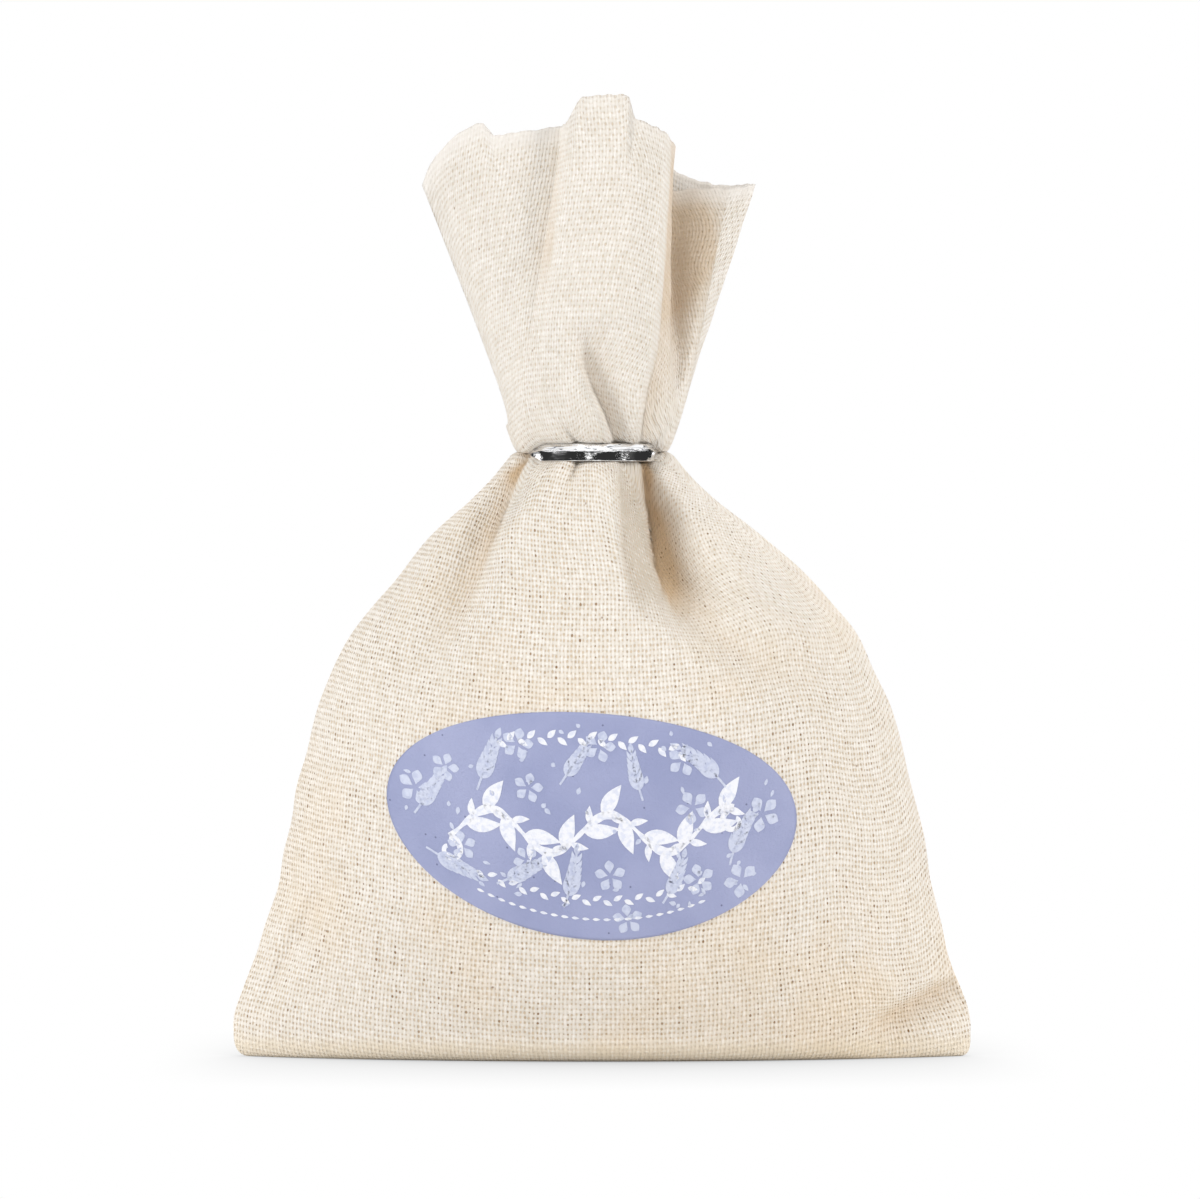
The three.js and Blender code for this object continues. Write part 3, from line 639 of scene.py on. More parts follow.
def painted_fold_shades(folds, x, z):
    """Painted shade for the folds: how deep in a fold the cloth lies, apart from the facets beside it, for a
    warm painted shade, and how far along the facet of a pleat, where it turns out of the light, for a grey
    painted shade."""
    below_front = folds is front_folds
    painted_fold_shade = DENT_TUCK * dented(x, z) if below_front else np.zeros_like(x)
    turned = np.zeros_like(x)
    for fold in folds:
        line, facet, facet_width, depth, left, right = fold(z)
        off = x - line
        width = np.where(off < 0, left, right)
        narrow = width <= np.minimum(left, right)
        width = width * np.where(narrow, STEEP_TUCK, WIDE_TUCK if below_front else 1)
        painted_fold_shade += (depth + facet) * np.exp(-((off / width) ** 2))
        # how far along a pleat's facet, which is given a grey painted shade
        turned += facet * smooth(1 + off / facet_width, 0, FACET_EDGE) * (off < 0)
    return painted_fold_shade, turned


# %% [markdown]
# ## The mouth
# Above the tie the cloth opens into three parts: a left lobe, a roll in the middle and a right flap that
# stands behind the roll. Their raw edge is one line through a few points, and the tuft is stretched from
# the gathered neck to that line. Two tabs in the cut edge then rise over the lobe and the roll.

# %% Mouth line
# rows: share of the way across the panel, then the place in millimetres
front_mouth = curve(
    (0.0, -23.3, 3.0, 113.4), (0.025, -22.3, 1.0, 115.8), (0.05, -20.8, -1.3, 117.3),
    (0.075, -18.3, -3.6, 118.4), (0.1, -15.5, -5.0, 119.1), (0.15, -10.8, -6.2, 119.8),
    (0.2, -7.9, -6.0, 120.3), (0.24, -6.1, -5.7, 120.5), (0.262, -5.2, -5.6, 120.6),
    (0.28, -4.8, -6.3, 120.7), (0.3, -4.6, -7.4, 120.8), (0.33, -4.1, -8.6, 121.0),
    (0.42, -1.4, -10.2, 121.3), (0.52, 2.2, -10.8, 121.4), (0.58, 4.5, -10.2, 121.2),
    (0.63, 6.3, -9.2, 120.6), (0.68, 8.0, -7.6, 119.7), (0.72, 9.0, -5.6, 118.6),
    (0.755, 9.2, -3.5, 117.6), (0.8, 7.5, 0.5, 115.4), (0.835, 6.0, 2.8, 113.6),
    (0.87, 8.5, 4.0, 112.7), (0.92, 12.0, 3.6, 112.9), (1.0, 16.6, 3.75, 112.9),
)
back_mouth = curve(
    (0.0, 16.3, 3.95, 112.9), (0.04, 18.2, 4.6, 113.3), (0.08, 19.9, 5.6, 113.6), (0.12, 19.0, 7.6, 113.6),
    (0.2, 15.0, 9.8, 113.6), (0.3, 9.0, 10.5, 116.0), (0.38, 4.8, 9.0, 120.0), (0.44, 3.5, 7.0, 121.2),
    (0.48, 2.6, 5.8, 121.8), (0.54, -1.2, 5.4, 121.9), (0.6, -3.5, 6.4, 121.4), (0.64, -4.9, 6.0, 120.9),
    (0.7, -7.5, 8.2, 119.9), (0.78, -12.2, 8.4, 119.0), (0.845, -17.2, 7.0, 117.8), (0.88, -19.9, 6.4, 116.9),
    (0.94, -21.8, 5.2, 115.4), (0.97, -22.6, 4.6, 114.6), (1.0, -23.3, 3.6, 113.4),
)

TAB_FOOT = 0.8
# the rise of a tab, and its left and right slopes as shares of the way across
TABS = [(2.0, (0.03, 0.095), (0.1, 0.113)), (3.0, (0.318, 0.39), (0.55, 0.575))]


def tab(across):
    """How far two tabs in the cut edge stand up, over the left lobe and over the roll."""
    return sum(rise * (smooth(across, *left) - smooth(across, *right)) for rise, left, right in TABS)


# %% Rows of a panel
COLUMNS = 150
ACROSS = np.linspace(0, 1, COLUMNS + 1)
FLOOR_ROWS, TURN_ROWS, WALL_ROWS, NECK_ROWS, TUFT_ROWS = 9, 9, 118, 12, 84
NECK_PULL = 0.6
SEAM_HOLD = 0.16
TUFT_WAIST, WAIST_REACH = 0.9, 0.3
SEAM_CLOSE, SEAM_LAP = 0.05, 0.1
SEAM_WAVE, SEAM_PUCKER, PUCKER_START = 6.5, 0.55, (2, 8)
LEAST_BOW = 0.3
FLOOR_CORNER, FLOOR_LIP = 1.75, 0.1
SIDE_COVER = 1.5
JOIN_REACH, JOIN_PASSES = 5, 6


def wall_row(side, across, z):
    """Points of one row of the filled bag, at a height."""
    half_width, half_depth, corner = section(z / TIE_Z)
    pucker = [noise.noise(Vector((hand * 5.0, 0, z / SEAM_WAVE))) * SEAM_PUCKER for hand in (-1, 1)]
    pucker = np.where(across < 0.5, *pucker) * smooth(z, *PUCKER_START) * (1 - smooth(z, *SHOULDER_FADE))
    x = -(half_width * HALF_WIDTH + pucker) * np.cos(math.pi * across) + middle_at(z)
    bow = (half_depth * HALF_DEPTH - SEAM_SHIFT) * np.sin(math.pi * across) ** corner
    level = np.full_like(x, z)
    depth = np.maximum(bow - drawn_in(FOLDS[side, False], x, level), LEAST_BOW * np.sin(math.pi * across))
    return table(x, side * (SEAM_SHIFT + depth), z)


def floor_rows(side, across):
    """The flat floor from the bottom seam outwards, and the round turn up into the wall."""
    level = CLOTH / 2
    bow = np.sin(math.pi * across) ** FLOOR_CORNER
    x = -FLAT_WIDTH * HALF_WIDTH * np.cos(math.pi * across)
    edge = SEAM_SHIFT + FLOOR_LIP + (FLAT_DEPTH * HALF_DEPTH - SEAM_SHIFT) * bow
    flat = table(x, side * edge, level)
    wall = wall_row(side, across, FLOOR_ROUND + level)
    rows = []
    for share in np.linspace(0, 1, FLOOR_ROWS):
        y = SEAM_SHIFT + (edge - SEAM_SHIFT) * share
        rows.append(table(x, side * y, level))
    left, right = smooth(across, CORNER_REACH, 0), smooth(across, 1 - CORNER_REACH, 1)
    square = 1 - LEFT_CORNER * left - RIGHT_CORNER * right
    for turned in np.linspace(0, 1, TURN_ROWS + 2)[1:-1]:
        out = math.sin(turned * math.pi / 2) ** square
        up = 1 - math.cos(turned * math.pi / 2) ** square
        row = flat + (wall - flat) * out[:, None]
        row[:, 2] = level + FLOOR_ROUND * up
        rows.append(row)
    return rows


def neck_row(side, across, swell, above, folded=True):
    """A row of the gathered neck. swell runs from 0, pressed by the tie, to 1, swollen out beside it."""
    angle = math.pi * across
    width, depth, reach, power = HIGH_NECK if above else LOW_NECK
    share = swell**power
    half_width = PINCH_RADIUS + (width - PINCH_RADIUS) * share
    half_depth = PINCH_RADIUS + (depth - PINCH_RADIUS) * share
    x = NECK_X - half_width * np.cos(angle)
    lip = np.where(across < 0.5, smooth(-np.cos(angle), *LEFT_LIP), smooth(-np.cos(angle), *RIGHT_LIP))
    closed = 1 - lip
    rise = PINCH_HALF + (reach - PINCH_HALF) * swell**1.7
    rise = rise - SIDE_COVER * closed * math.sin(math.pi * swell**0.75) ** 1.2
    z = TIE_Z + (rise if above else -rise)
    bow = (half_depth - SEAM_SHIFT) * np.sin(angle)
    if folded:
        depth = drawn_in(FOLDS[side, above], x, z) * (PRESSED_FOLDS + (1 - PRESSED_FOLDS) * swell)
        bow = np.maximum(bow - depth, LEAST_BOW * np.sin(angle))
    return table(x, side * (SEAM_SHIFT + bow), z)


def tuft_row(side, across, rise):
    """A row of the tuft: rise 0 is the swollen neck and 1 the raw edge of the mouth."""
    neck = neck_row(side, across, 1.0, True, folded=False)
    leaving = unit(neck - neck_row(side, across, 0.95, True, folded=False))
    mouth = table(*(front_mouth(across) if side == FRONT else back_mouth(1 - across)))
    way = mouth - neck
    start = leaving * np.linalg.norm(way, axis=1, keepdims=True) * NECK_PULL
    t = rise
    row = neck + way * (t * t * (3 - 2 * t)) + start * (t * (1 - t) ** 2) - way * (t * t * (1 - t))
    row[:, 0] += TUFT_WAIST * math.sin(math.pi * math.sqrt(t)) * smooth(across, WAIST_REACH, 0)
    free = smooth(np.minimum(across, 1 - across), 0, SEAM_HOLD)
    row[:, 1] -= side * free * drawn_in(FOLDS[side, True], row[:, 0], row[:, 2])
    if side == FRONT:
        row[:, 2] += tab(across) * smooth(t, TAB_FOOT, 1)
        beyond = tuft_row(BACK, across, rise)[-1, 1]
        row[:, 1] += (beyond - SEAM_LAP - row[-1, 1]) * smooth(across, 1 - SEAM_CLOSE, 1)
    return row


def panel_points(side):
    rows = floor_rows(side, ACROSS)
    foot = FLOOR_ROUND + CLOTH / 2
    for share in np.linspace(0, 1, WALL_ROWS):
        rows.append(wall_row(side, ACROSS, foot + (NECK_LOW - foot) * share))
    swells = np.linspace(0, 1, NECK_ROWS)
    rows += [neck_row(side, ACROSS, swell, False) for swell in swells[-2::-1]]
    pinch_row = len(rows)
    rows += [neck_row(side, ACROSS, swell, True) for swell in swells[:-1]]
    rows += [tuft_row(side, ACROSS, rise) for rise in np.linspace(0, 1, TUFT_ROWS)]
    points = np.array(rows)
    join = pinch_row - NECK_ROWS
    near = slice(join - JOIN_REACH, join + JOIN_REACH)
    for _ in range(JOIN_PASSES):
        before = points[join - JOIN_REACH - 1 : join + JOIN_REACH - 1]
        after = points[join - JOIN_REACH + 1 : join + JOIN_REACH + 1]
        points[near] = (before + 2 * points[near] + after) / 4
    return points, pinch_row


# %% [markdown]
# ## Settling the cloth
# Real cloth is never as smooth as a formula. The flowers push out low bumps, the seams pull in to a groove,
# and the cut edge of the mouth wavers. These small moves come last, so that they lie on the finished folds.

# %% Small unevenness
LUMP_SIZE, LUMP_HEIGHT = 11, 0.32
RIPPLE_SIZE, RIPPLE_HEIGHT = 3.6, 0.16
EDGE_WAVER, WAVER_ROWS = 0.3, 8
SEAM_ROLL, SEAM_FLAT, ROLL_END = 0.5, 4, 6
# heights where the filling starts and stops to push, where the cloth gets loose and where it is off the floor
FILL_START, FILL_END, LOOSENING, OFF_FLOOR = (1, 9), (50, 74), (52, 72), (0.5, 4)
FIRM = 0.25


def settle(points, side):
    """Adds lumps of the filling, the seams' inward roll and the wavering cut edge to a panel's points."""
    normals = -side * unit(np.cross(np.gradient(points, axis=1), np.gradient(points, axis=0)))
    moved = points.copy()
    rows, columns, _ = points.shape
    from_left = measured(points, axis=1)
    from_right = from_left[:, -1:] - from_left
    for r in range(rows):
        for c in range(columns):
            p = points[r, c]
            filled = smooth(p[2], *FILL_START) * (1 - smooth(p[2], *FILL_END))
            lump = noise.noise(Vector(p) / LUMP_SIZE) * LUMP_HEIGHT * filled
            ripple = noise.noise(Vector((p[0] * 1.6, p[1] * 1.6, p[2] * 0.7)) / RIPPLE_SIZE) * RIPPLE_HEIGHT
            loose = smooth(p[2], *LOOSENING) + FIRM
            free = smooth(min(from_left[r, c], from_right[r, c]), 0, SEAM_FLAT) * smooth(p[2], *OFF_FLOOR)
            moved[r, c] += normals[r, c] * (lump + ripple * loose) * free
    for distance, inwards in ((from_left, 1), (from_right, -1)):
        turned = np.clip(1 - distance / SEAM_ROLL, 0, 1)
        below = 1 - smooth(points[:, :, 2], TIE_Z - ROLL_END, TIE_Z)
        moved[:, :, 0] += below * inwards * SEAM_ROLL * (1 - np.sqrt(1 - turned**2))
    last = moved[-1]
    waver = np.array([noise.noise(Vector((p[0] * 0.9, p[1] * 0.9, side * 7.0))) for p in last]) * EDGE_WAVER
    share = np.linspace(0, 1, WAVER_ROWS)[:, None]
    moved[-WAVER_ROWS:, :, 2] += share * waver[None, :]
    moved[:, :, 2] = np.maximum(moved[:, :, 2], CLOTH / 2)
    return moved


# %% Panels
FLOOR_COUNT = 0.35
CUT_WIDTH, GATHER = 98, 0.4
EVENING = 14
EDGE_BAND = 3.2
TUFT_START = {FRONT: 45, BACK: 75}
# where the folds' painted shade changes: heights below the tie and in the tuft, and where the painted shadow
# of the roll lies on the right flap, across and up
NEAR_TIE, HIGH_TUFT, FLAP_ACROSS, FLAP_UP = (72, 76), (90, 105), (0.82, 0.9), (84, 100)
# the most painted shade in the tuft and the painted shadow on the flap, then how deep a fold must be for full
# painted shade: below the tie, by the tie, in the tuft, high in the front of the tuft, and along a pleat's
# facet
MOST_TUFT_TUCK, FLAP_SHADE = 0.8, 0.6
DEEP_TUCK, DEEP_TIE_TUCK, DEEP_TUFT_TUCK, DEEP_FLAP_TUCK, DEEP_FACET = 7, 3, 7, 1.4, 4


def eased(numbers, passes):
    """Numbers in rows, each evened out with those in the rows before and after."""
    numbers = numbers.copy()
    for _ in range(passes):
        numbers[1:-1] = (numbers[:-2] + 2 * numbers[1:-1] + numbers[2:]) / 4
    return numbers


def thread_map(points, pinch_row, tuft_start, rise):
    """UV map that counts threads: along each row from a column that no fold crosses, and up each column from
    the bottom seam or, in the tuft, down from the mouth. Also how near each place is to the cut edge."""
    rows, columns, _ = points.shape
    u = measured(points, axis=1)
    length = u[:, -1:].copy()
    u[:pinch_row] -= u[:pinch_row, columns // 2][:, None]
    u[pinch_row:] -= u[pinch_row:, tuft_start][:, None]
    u *= (CUT_WIDTH / length) ** GATHER
    along = np.linalg.norm(np.diff(points, axis=0), axis=2)
    along[:FLOOR_ROWS] *= FLOOR_COUNT
    v = np.concatenate([np.zeros((1, columns)), np.cumsum(along, axis=0)], axis=0)
    near_edge = np.clip(1 - (v[-1] - v) / EDGE_BAND, 0, 1)
    v[pinch_row:] -= v[-1] - rise
    for half in (slice(0, pinch_row), slice(pinch_row, rows)):
        u[half] = eased(u[half], EVENING)
        v[half] = eased(v[half].T, EVENING).T
    return u / WARP_PITCH, v / WEFT_PITCH, near_edge


def add_grid(bm, points):
    """Adds a grid of faces through rows of points, in millimetres, and tells each vertex's row and column."""
    rows, columns, _ = points.shape
    made = bmesh.ops.create_grid(bm, x_segments=columns - 1, y_segments=rows - 1, size=0.5)
    spots = {}
    for vert in made["verts"]:
        spots[vert] = (round((vert.co.y + 0.5) * (rows - 1)), round((vert.co.x + 0.5) * (columns - 1)))
        vert.co = Vector(points[spots[vert]]) * MM
    return spots


def add_uv(bm, spots, name, u, v):
    """Writes a UV map for a grid, from two tables by row and column."""
    layer = bm.loops.layers.uv.get(name) or bm.loops.layers.uv.new(name)
    for vert, spot in spots.items():
        for loop in vert.link_loops:
            loop[layer].uv = (u[spot], v[spot])


def give_thickness(obj, thickness):
    solid = obj.modifiers.new("thickness", "SOLIDIFY")
    solid.thickness = thickness * MM
    solid.offset = 0


def make_panel(name, side):
    points, pinch_row = panel_points(side)
    rows = enumerate(points)
    # painted shade of the folds and of the pleat facets, kept on the vertices for the cotton to read
    painted_shades = [painted_fold_shades(FOLDS[side, r >= pinch_row], row[:, 0], row[:, 2]) for r, row in rows]
    painted_fold_shade, facet = np.moveaxis(np.array(painted_shades), 1, 0)
    below, above = points[:pinch_row, :, 2], points[pinch_row:, :, 2]
    painted_fold_shade[:pinch_row] /= DEEP_TUCK + (DEEP_TIE_TUCK - DEEP_TUCK) * smooth(below, *NEAR_TIE)
    high = smooth(above, *HIGH_TUFT) * (side == FRONT)
    painted_fold_shade[pinch_row:] /= DEEP_TUFT_TUCK + (DEEP_FLAP_TUCK - DEEP_TUFT_TUCK) * high
    painted_fold_shade[pinch_row:] = np.minimum(painted_fold_shade[pinch_row:], MOST_TUFT_TUCK)
    facet /= DEEP_FACET
    if side == FRONT:
        # painted shadow of the roll on the right flap, added to the facets' painted shade
        facet[pinch_row:] += FLAP_SHADE * smooth(ACROSS, *FLAP_ACROSS) * smooth(above, *FLAP_UP)
    rise = tab(ACROSS) if side == FRONT else 0
    u, v, near_edge = thread_map(points, pinch_row, TUFT_START[side], rise)
    points = settle(points, side)
    shares = {"painted_fold_shade": painted_fold_shade, "facet": facet, "near_edge": near_edge}
    if side == BACK:
        points, u, v = points[:, ::-1], u[:, ::-1], v[:, ::-1]
        shares = {share_name: share[:, ::-1] for share_name, share in shares.items()}
    bm = bmesh.new()
    for share_name in shares:
        bm.verts.layers.float.new(share_name)
    spots = add_grid(bm, points)
    for share_name, share in shares.items():
        layer = bm.verts.layers.float[share_name]
        for vert, spot in spots.items():
            vert[layer] = min(share[spot], 1)
    add_uv(bm, spots, "threads", u, v)
    panel = mesh_object(name, bm, cotton)
    give_thickness(panel, CLOTH)
    return panel, points


front_cloth, front_points = make_panel("front_cloth", FRONT)
back_cloth, back_points = make_panel("back_cloth", BACK)
for cloth, node in ((front_cloth, "front_panel"), (back_cloth, "back_panel")):
    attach(cloth, "sachet")
    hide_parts(node)
print("faces in a panel:", len(front_cloth.data.polygons))

# %% [markdown]
# ## The label
# The label is a thin printed film pressed onto the cloth. It takes the bag's curve, so each of its points is
# found by looking straight at the front of the bag and lifting the place that is hit off the cloth. A disc
# stretched from a square grid keeps its faces even, where a fan of triangles would crowd the middle.

# %% Places on the front of the bag
def cloth_surface(points):
    rows, columns, _ = points.shape
    places = [Vector(p) for p in points.reshape(-1, 3)]
    corner = lambda r, c: r * columns + c
    faces = [
        (corner(r, c), corner(r, c + 1), corner(r + 1, c + 1), corner(r + 1, c))
        for r in range(rows - 1)
        for c in range(columns - 1)
    ]
    return BVHTree.FromPolygons(places, faces)


front_surface = cloth_surface(front_points)
FAR_FRONT = -200
FEEL = 0.8


def front_at(x, z):
    place, _, _, _ = front_surface.ray_cast(Vector((x, FAR_FRONT, z)), Vector((0, 1, 0)))
    return place


def on_front(x, z, lift):
    """A place on the front of the bag, lifted off the middle of the cloth."""
    right = front_at(x + FEEL, z) - front_at(x - FEEL, z)
    up = front_at(x, z + FEEL) - front_at(x, z - FEEL)
    return front_at(x, z) + right.cross(up).normalized() * lift


# %% Label film
label_low, label_high = node_box("label_film")
LABEL_X = (label_low[0] + label_high[0]) / 2
LABEL_HALF_WIDTH = (label_high[0] - label_low[0]) / 2
LABEL_Z, LABEL_HALF_HEIGHT = 30.5, 14.4
LABEL_BOW, LABEL_TILT = 2.3, -1.55
LABEL_THICKNESS = 0.1
LABEL_LIFT = CLOTH / 2 + 0.1
LABEL_ROWS, LABEL_COLUMNS = 72, 128


def on_label(a, b, lift=LABEL_LIFT):
    """A place on the label, from millimetres right of and above its middle."""
    share = a / LABEL_HALF_WIDTH
    return on_front(LABEL_X + a, LABEL_Z + b + LABEL_BOW * share**2 + LABEL_TILT * share, lift)


def label_material():
    material, n = new_material("label_film")
    uv = n.uv("print")
    cloud = n.step(n.noise(n.place(), 90.0, 3.0), 0.3, 0.7)
    pebble, grain = n.noise(uv, 2.6, 2.0, "2D"), n.noise(uv, 7.0, 2.0, "2D")
    distance, picked = n.cells(uv, 0.3)
    speck = n.step(distance, 0.05, 0.02) * n.step(n.split(picked)[1], 0.72, 0.76)
    ground = n.mix(cloud, colour(150, 157, 194), colour(162, 168, 203))
    n.surface(
        Base_Color=n.mix(speck * 0.75, ground, colour(84, 88, 122)),
        Roughness=0.42 + grain * 0.16,
        Normal=n.bump(pebble * 0.7 + grain * 0.3, 0.09 * MM),
        Specular_IOR_Level=0.45,
    )
    return material


def make_label():
    bm = bmesh.new()
    a, b = np.meshgrid(np.linspace(-1, 1, LABEL_COLUMNS + 1), np.linspace(-1, 1, LABEL_ROWS + 1))
    across = a * np.sqrt(1 - b * b / 2) * LABEL_HALF_WIDTH
    up = b * np.sqrt(1 - a * a / 2) * LABEL_HALF_HEIGHT
    places = np.array([on_label(p, q) for p, q in zip(across.ravel(), up.ravel())])
    spots = add_grid(bm, places.reshape(*across.shape, 3))
    add_uv(bm, spots, "print", across, up)
    film = mesh_object("label", bm, label_material())
    give_thickness(film, LABEL_THICKNESS)
    return film


label = make_label()
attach(label, "sachet")
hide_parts("label_film")
print("label faces:", len(label.data.polygons))

# %% [markdown]
# ## The print
# The label carries a plain garden pattern: pale sprigs and five-petalled flowers, a white brushed vine and
# rows of small leaves. Every mark is a stroke, a line with a width along it, as a brush would leave it.
# Thin faces just over the film keep the edges of the ink sharp, where a texture would need an image.

# %% Strokes of ink
INK_LIFT = LABEL_LIFT + LABEL_THICKNESS / 2 + 0.03
INK_MARGIN = 0.975
LEAF_STEPS, LEAF_TIP = 9, 0.02
STEM_STEPS, STEM_WIDTH = 15, 0.14


def ink_material(name, light, shade):
    material, n = new_material(name)
    uv = n.uv("print")
    n.surface(
        Base_Color=n.mix(n.step(n.noise(uv, 1.4, 4.0, "2D"), 0.42, 0.7), light, shade),
        Roughness=0.5,
        Normal=n.bump(n.noise(uv, 2.6, 2.0, "2D"), 0.06 * MM),
        Specular_IOR_Level=0.4,
    )
    return material


def stroke(bm, line, widths):
    """Adds one stroke of ink along a line on the label, if it keeps inside the label's edge."""
    way = heading(line)
    side = table(-way[:, 1], way[:, 0]) * np.asarray(widths)[:, None]
    rows = np.array([line - side, line, line + side])
    reach = np.hypot(rows[..., 0] / LABEL_HALF_WIDTH, rows[..., 1] / LABEL_HALF_HEIGHT)
    if reach.max() > INK_MARGIN:
        return
    places = np.array([on_label(a, b, INK_LIFT) for a, b in rows.reshape(-1, 2)])
    spots = add_grid(bm, places.reshape(*rows.shape[:2], 3))
    add_uv(bm, spots, "print", rows[..., 0], rows[..., 1])


def bent_line(start, angle, length, bend, count):
    """Points along a line that sets off at an angle and bends to one side."""
    t = np.linspace(0, 1, count)[:, None]
    along = np.array([math.cos(angle), math.sin(angle)])
    beside = np.array([-along[1], along[0]])
    return np.asarray(start) + length * (t * along + bend * t**2 * beside)


def leaf(bm, start, angle, length, width, bend=0.0, fullness=0.8):
    """A pointed leaf or petal from its foot, turned by an angle, with a bent middle line."""
    t = np.linspace(0, 1, LEAF_STEPS)
    line = bent_line(start, angle, length, bend, LEAF_STEPS)
    stroke(bm, line, width * np.sin(math.pi * t**fullness) + LEAF_TIP)


def floret(bm, middle, size, turn):
    for petal in range(5):
        angle = turn + petal * 2 * math.pi / 5
        start = np.asarray(middle) + 0.18 * size * np.array([math.cos(angle), math.sin(angle)])
        leaf(bm, start, angle, 0.85 * size, 0.3 * size, fullness=1.35)


def sprig(bm, foot, angle, length, bend, pairs):
    """A stem with leaves in pairs, smaller towards its tip."""
    line = bent_line(foot, angle, length, bend, STEM_STEPS)
    stroke(bm, line, np.full(STEM_STEPS, STEM_WIDTH))
    for pair in range(pairs):
        share = 0.22 + 0.74 * pair / pairs
        i = int(share * (STEM_STEPS - 1))
        turn = angle + 2 * bend * share
        size = 0.34 * length * (1.1 - 0.6 * share)
        for hand in (-1, 1):
            leaf(bm, line[i], turn + hand * 0.6, size, 0.16 * size, bend=-0.2 * hand)
    leaf(bm, line[-2], angle + 2 * bend, 0.2 * length, 0.05 * length)


def label_edge(a):
    return LABEL_HALF_HEIGHT * np.sqrt(1 - (a / LABEL_HALF_WIDTH) ** 2)


# %% Pale pattern
def pale_pattern():
    bm = bmesh.new()
    draw = random.Random(11)
    sprigs = [
        (-22.5, -1.5, 1.0), (-14.5, 3.0, 1.25), (-12.0, -8.5, 0.5), (-4.0, 5.0, 1.0), (-3.5, -10.5, 1.2),
        (6.5, 3.5, 1.9), (9.0, -9.5, 1.0), (17.5, -5.0, 1.35), (17.0, 5.0, 2.2), (-21.0, -5.5, -0.4),
    ]
    for a, b, angle in sprigs:
        sprig(bm, (a, b), angle, draw.uniform(6.5, 8.0), draw.uniform(-0.25, 0.25), 5)
    flowers = [
        (-18.6, 5.2), (-9.4, 9.6), (-16.4, -4.4), (-8.2, -5.0), (2.4, -6.2), (1.0, 10.2), (11.6, 8.6),
        (13.6, -6.6), (21.6, 1.2), (-22.4, 1.8), (4.6, -11.6), (-8.0, 4.2), (12.8, 2.6), (19.0, -7.0),
    ]
    for a, b in flowers:
        floret(bm, (a, b), draw.uniform(1.7, 2.3), draw.uniform(0, 2))
    for _ in range(70):
        a, b = draw.uniform(-24, 24), draw.uniform(-13, 13)
        leaf(bm, (a, b), draw.uniform(0, 6.3), draw.uniform(0.6, 1.1), draw.uniform(0.16, 0.3))
    ink = ink_material("pale_ink", colour(205, 211, 231), colour(190, 197, 222))
    return mesh_object("label_pale_print", bm, ink)


# %% White pattern
VINE_HEIGHT, VINE_RATE, VINE_START = 2.5, 0.42, 0.6
VINE_END, CURL_RADIUS = 18, 1.7
EDGE_LEAN = 0.56


def white_pattern():
    bm = bmesh.new()
    a = np.linspace(-VINE_END, VINE_END, 150)
    wave = lambda x: -1.0 + VINE_HEIGHT * np.sin(VINE_RATE * x + VINE_START) + 0.05 * x
    stroke(bm, table(a, wave(a)), 0.42 + 0.16 * np.sin(0.84 * a) + 0.05 * np.sin(3.1 * a))
    for i, x in enumerate(np.linspace(-16, 16.4, 14)):
        slope = math.atan(VINE_HEIGHT * VINE_RATE * math.cos(VINE_RATE * x + VINE_START))
        hand = 1 if i % 2 else -1
        leaf(bm, (x, wave(x)), slope + hand * 0.85, 4.6, 0.95, bend=-0.16 * hand)
        leaf(bm, (x + 0.9, wave(x + 0.9)), slope - hand * 1.0, 2.3, 0.45, bend=0.2 * hand)
    for hand in (-1, 1):
        t = np.linspace(0, 1, 40)
        angle = math.pi / 2 + t * 2 * math.pi * 0.9
        radius = CURL_RADIUS * (1 - 0.72 * t)
        end = hand * VINE_END
        up = wave(end) - CURL_RADIUS + radius * np.sin(angle)
        stroke(bm, table(end + hand * radius * np.cos(angle), up), 0.42 - 0.16 * t)
    for i, x in enumerate(np.linspace(-11.5, 11.5, 19)):
        tangent = -math.atan(EDGE_LEAN * x / LABEL_HALF_WIDTH)
        up = label_edge(x) - 3.3
        leaf(bm, (x - 0.45, up), tangent + (0.7 if i % 2 else -0.7), 1.5, 0.36)
    for i, x in enumerate(np.linspace(-14, 14, 22)):
        tangent = math.atan(EDGE_LEAN * x / LABEL_HALF_WIDTH)
        leaf(bm, (x - 0.5, -label_edge(x) + 5.0), tangent + (0.5 if i % 2 else -0.5), 1.3, 0.3)
        leaf(bm, (x - 0.5, -label_edge(x) + 2.6), tangent, 0.95, 0.17)
    ink = ink_material("white_ink", colour(240, 241, 247), colour(222, 226, 240))
    return mesh_object("label_white_print", bm, ink)


pale_print, white_print = pale_pattern(), white_pattern()
for print_layer in (pale_print, white_print):
    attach(print_layer, "sachet")
print("faces of ink:", len(pale_print.data.polygons), len(white_print.data.polygons))

# %% [markdown]
# ## The tie
# A foil twist tie: a thin wire between two strips of silver film. It is wound once round the neck, and its
# ends are twisted together behind. A strip follows a line of frames, each with a place, an outward direction
# and a width direction. Crinkles in the mesh break the reflections up as in real foil.

# %% Foil and wire
def foil_material():
    material, n = new_material("silver_foil")
    uv = n.uv("foil")
    run, across, _ = n.split(uv)
    streak = n.noise(n.vector(run * 0.5, across * 5.0), 1.0, 3.0, "2D")
    wrinkle = n.noise(uv, 1.6, 3.0, "2D")
    # dark lines in the foil's upper band: painted shade standing in for crinkles that reflect something dark
    line = n.noise(n.vector(run * 0.22, across * 3.0), 1.0, 1.0, "2D")
    line = n.step(abs(line - 0.5), 0.04, 0.01) * n.step(across, 0.15, 0.3)
    n.surface(
        Base_Color=n.mix(line, colour(252, 252, 253), colour(140, 142, 148)),
        Metallic=1.0,
        Roughness=0.02 + wrinkle * 0.08,
        Normal=n.bump(streak * 0.6 + wrinkle * 0.4, 0.045 * MM),
    )
    return material


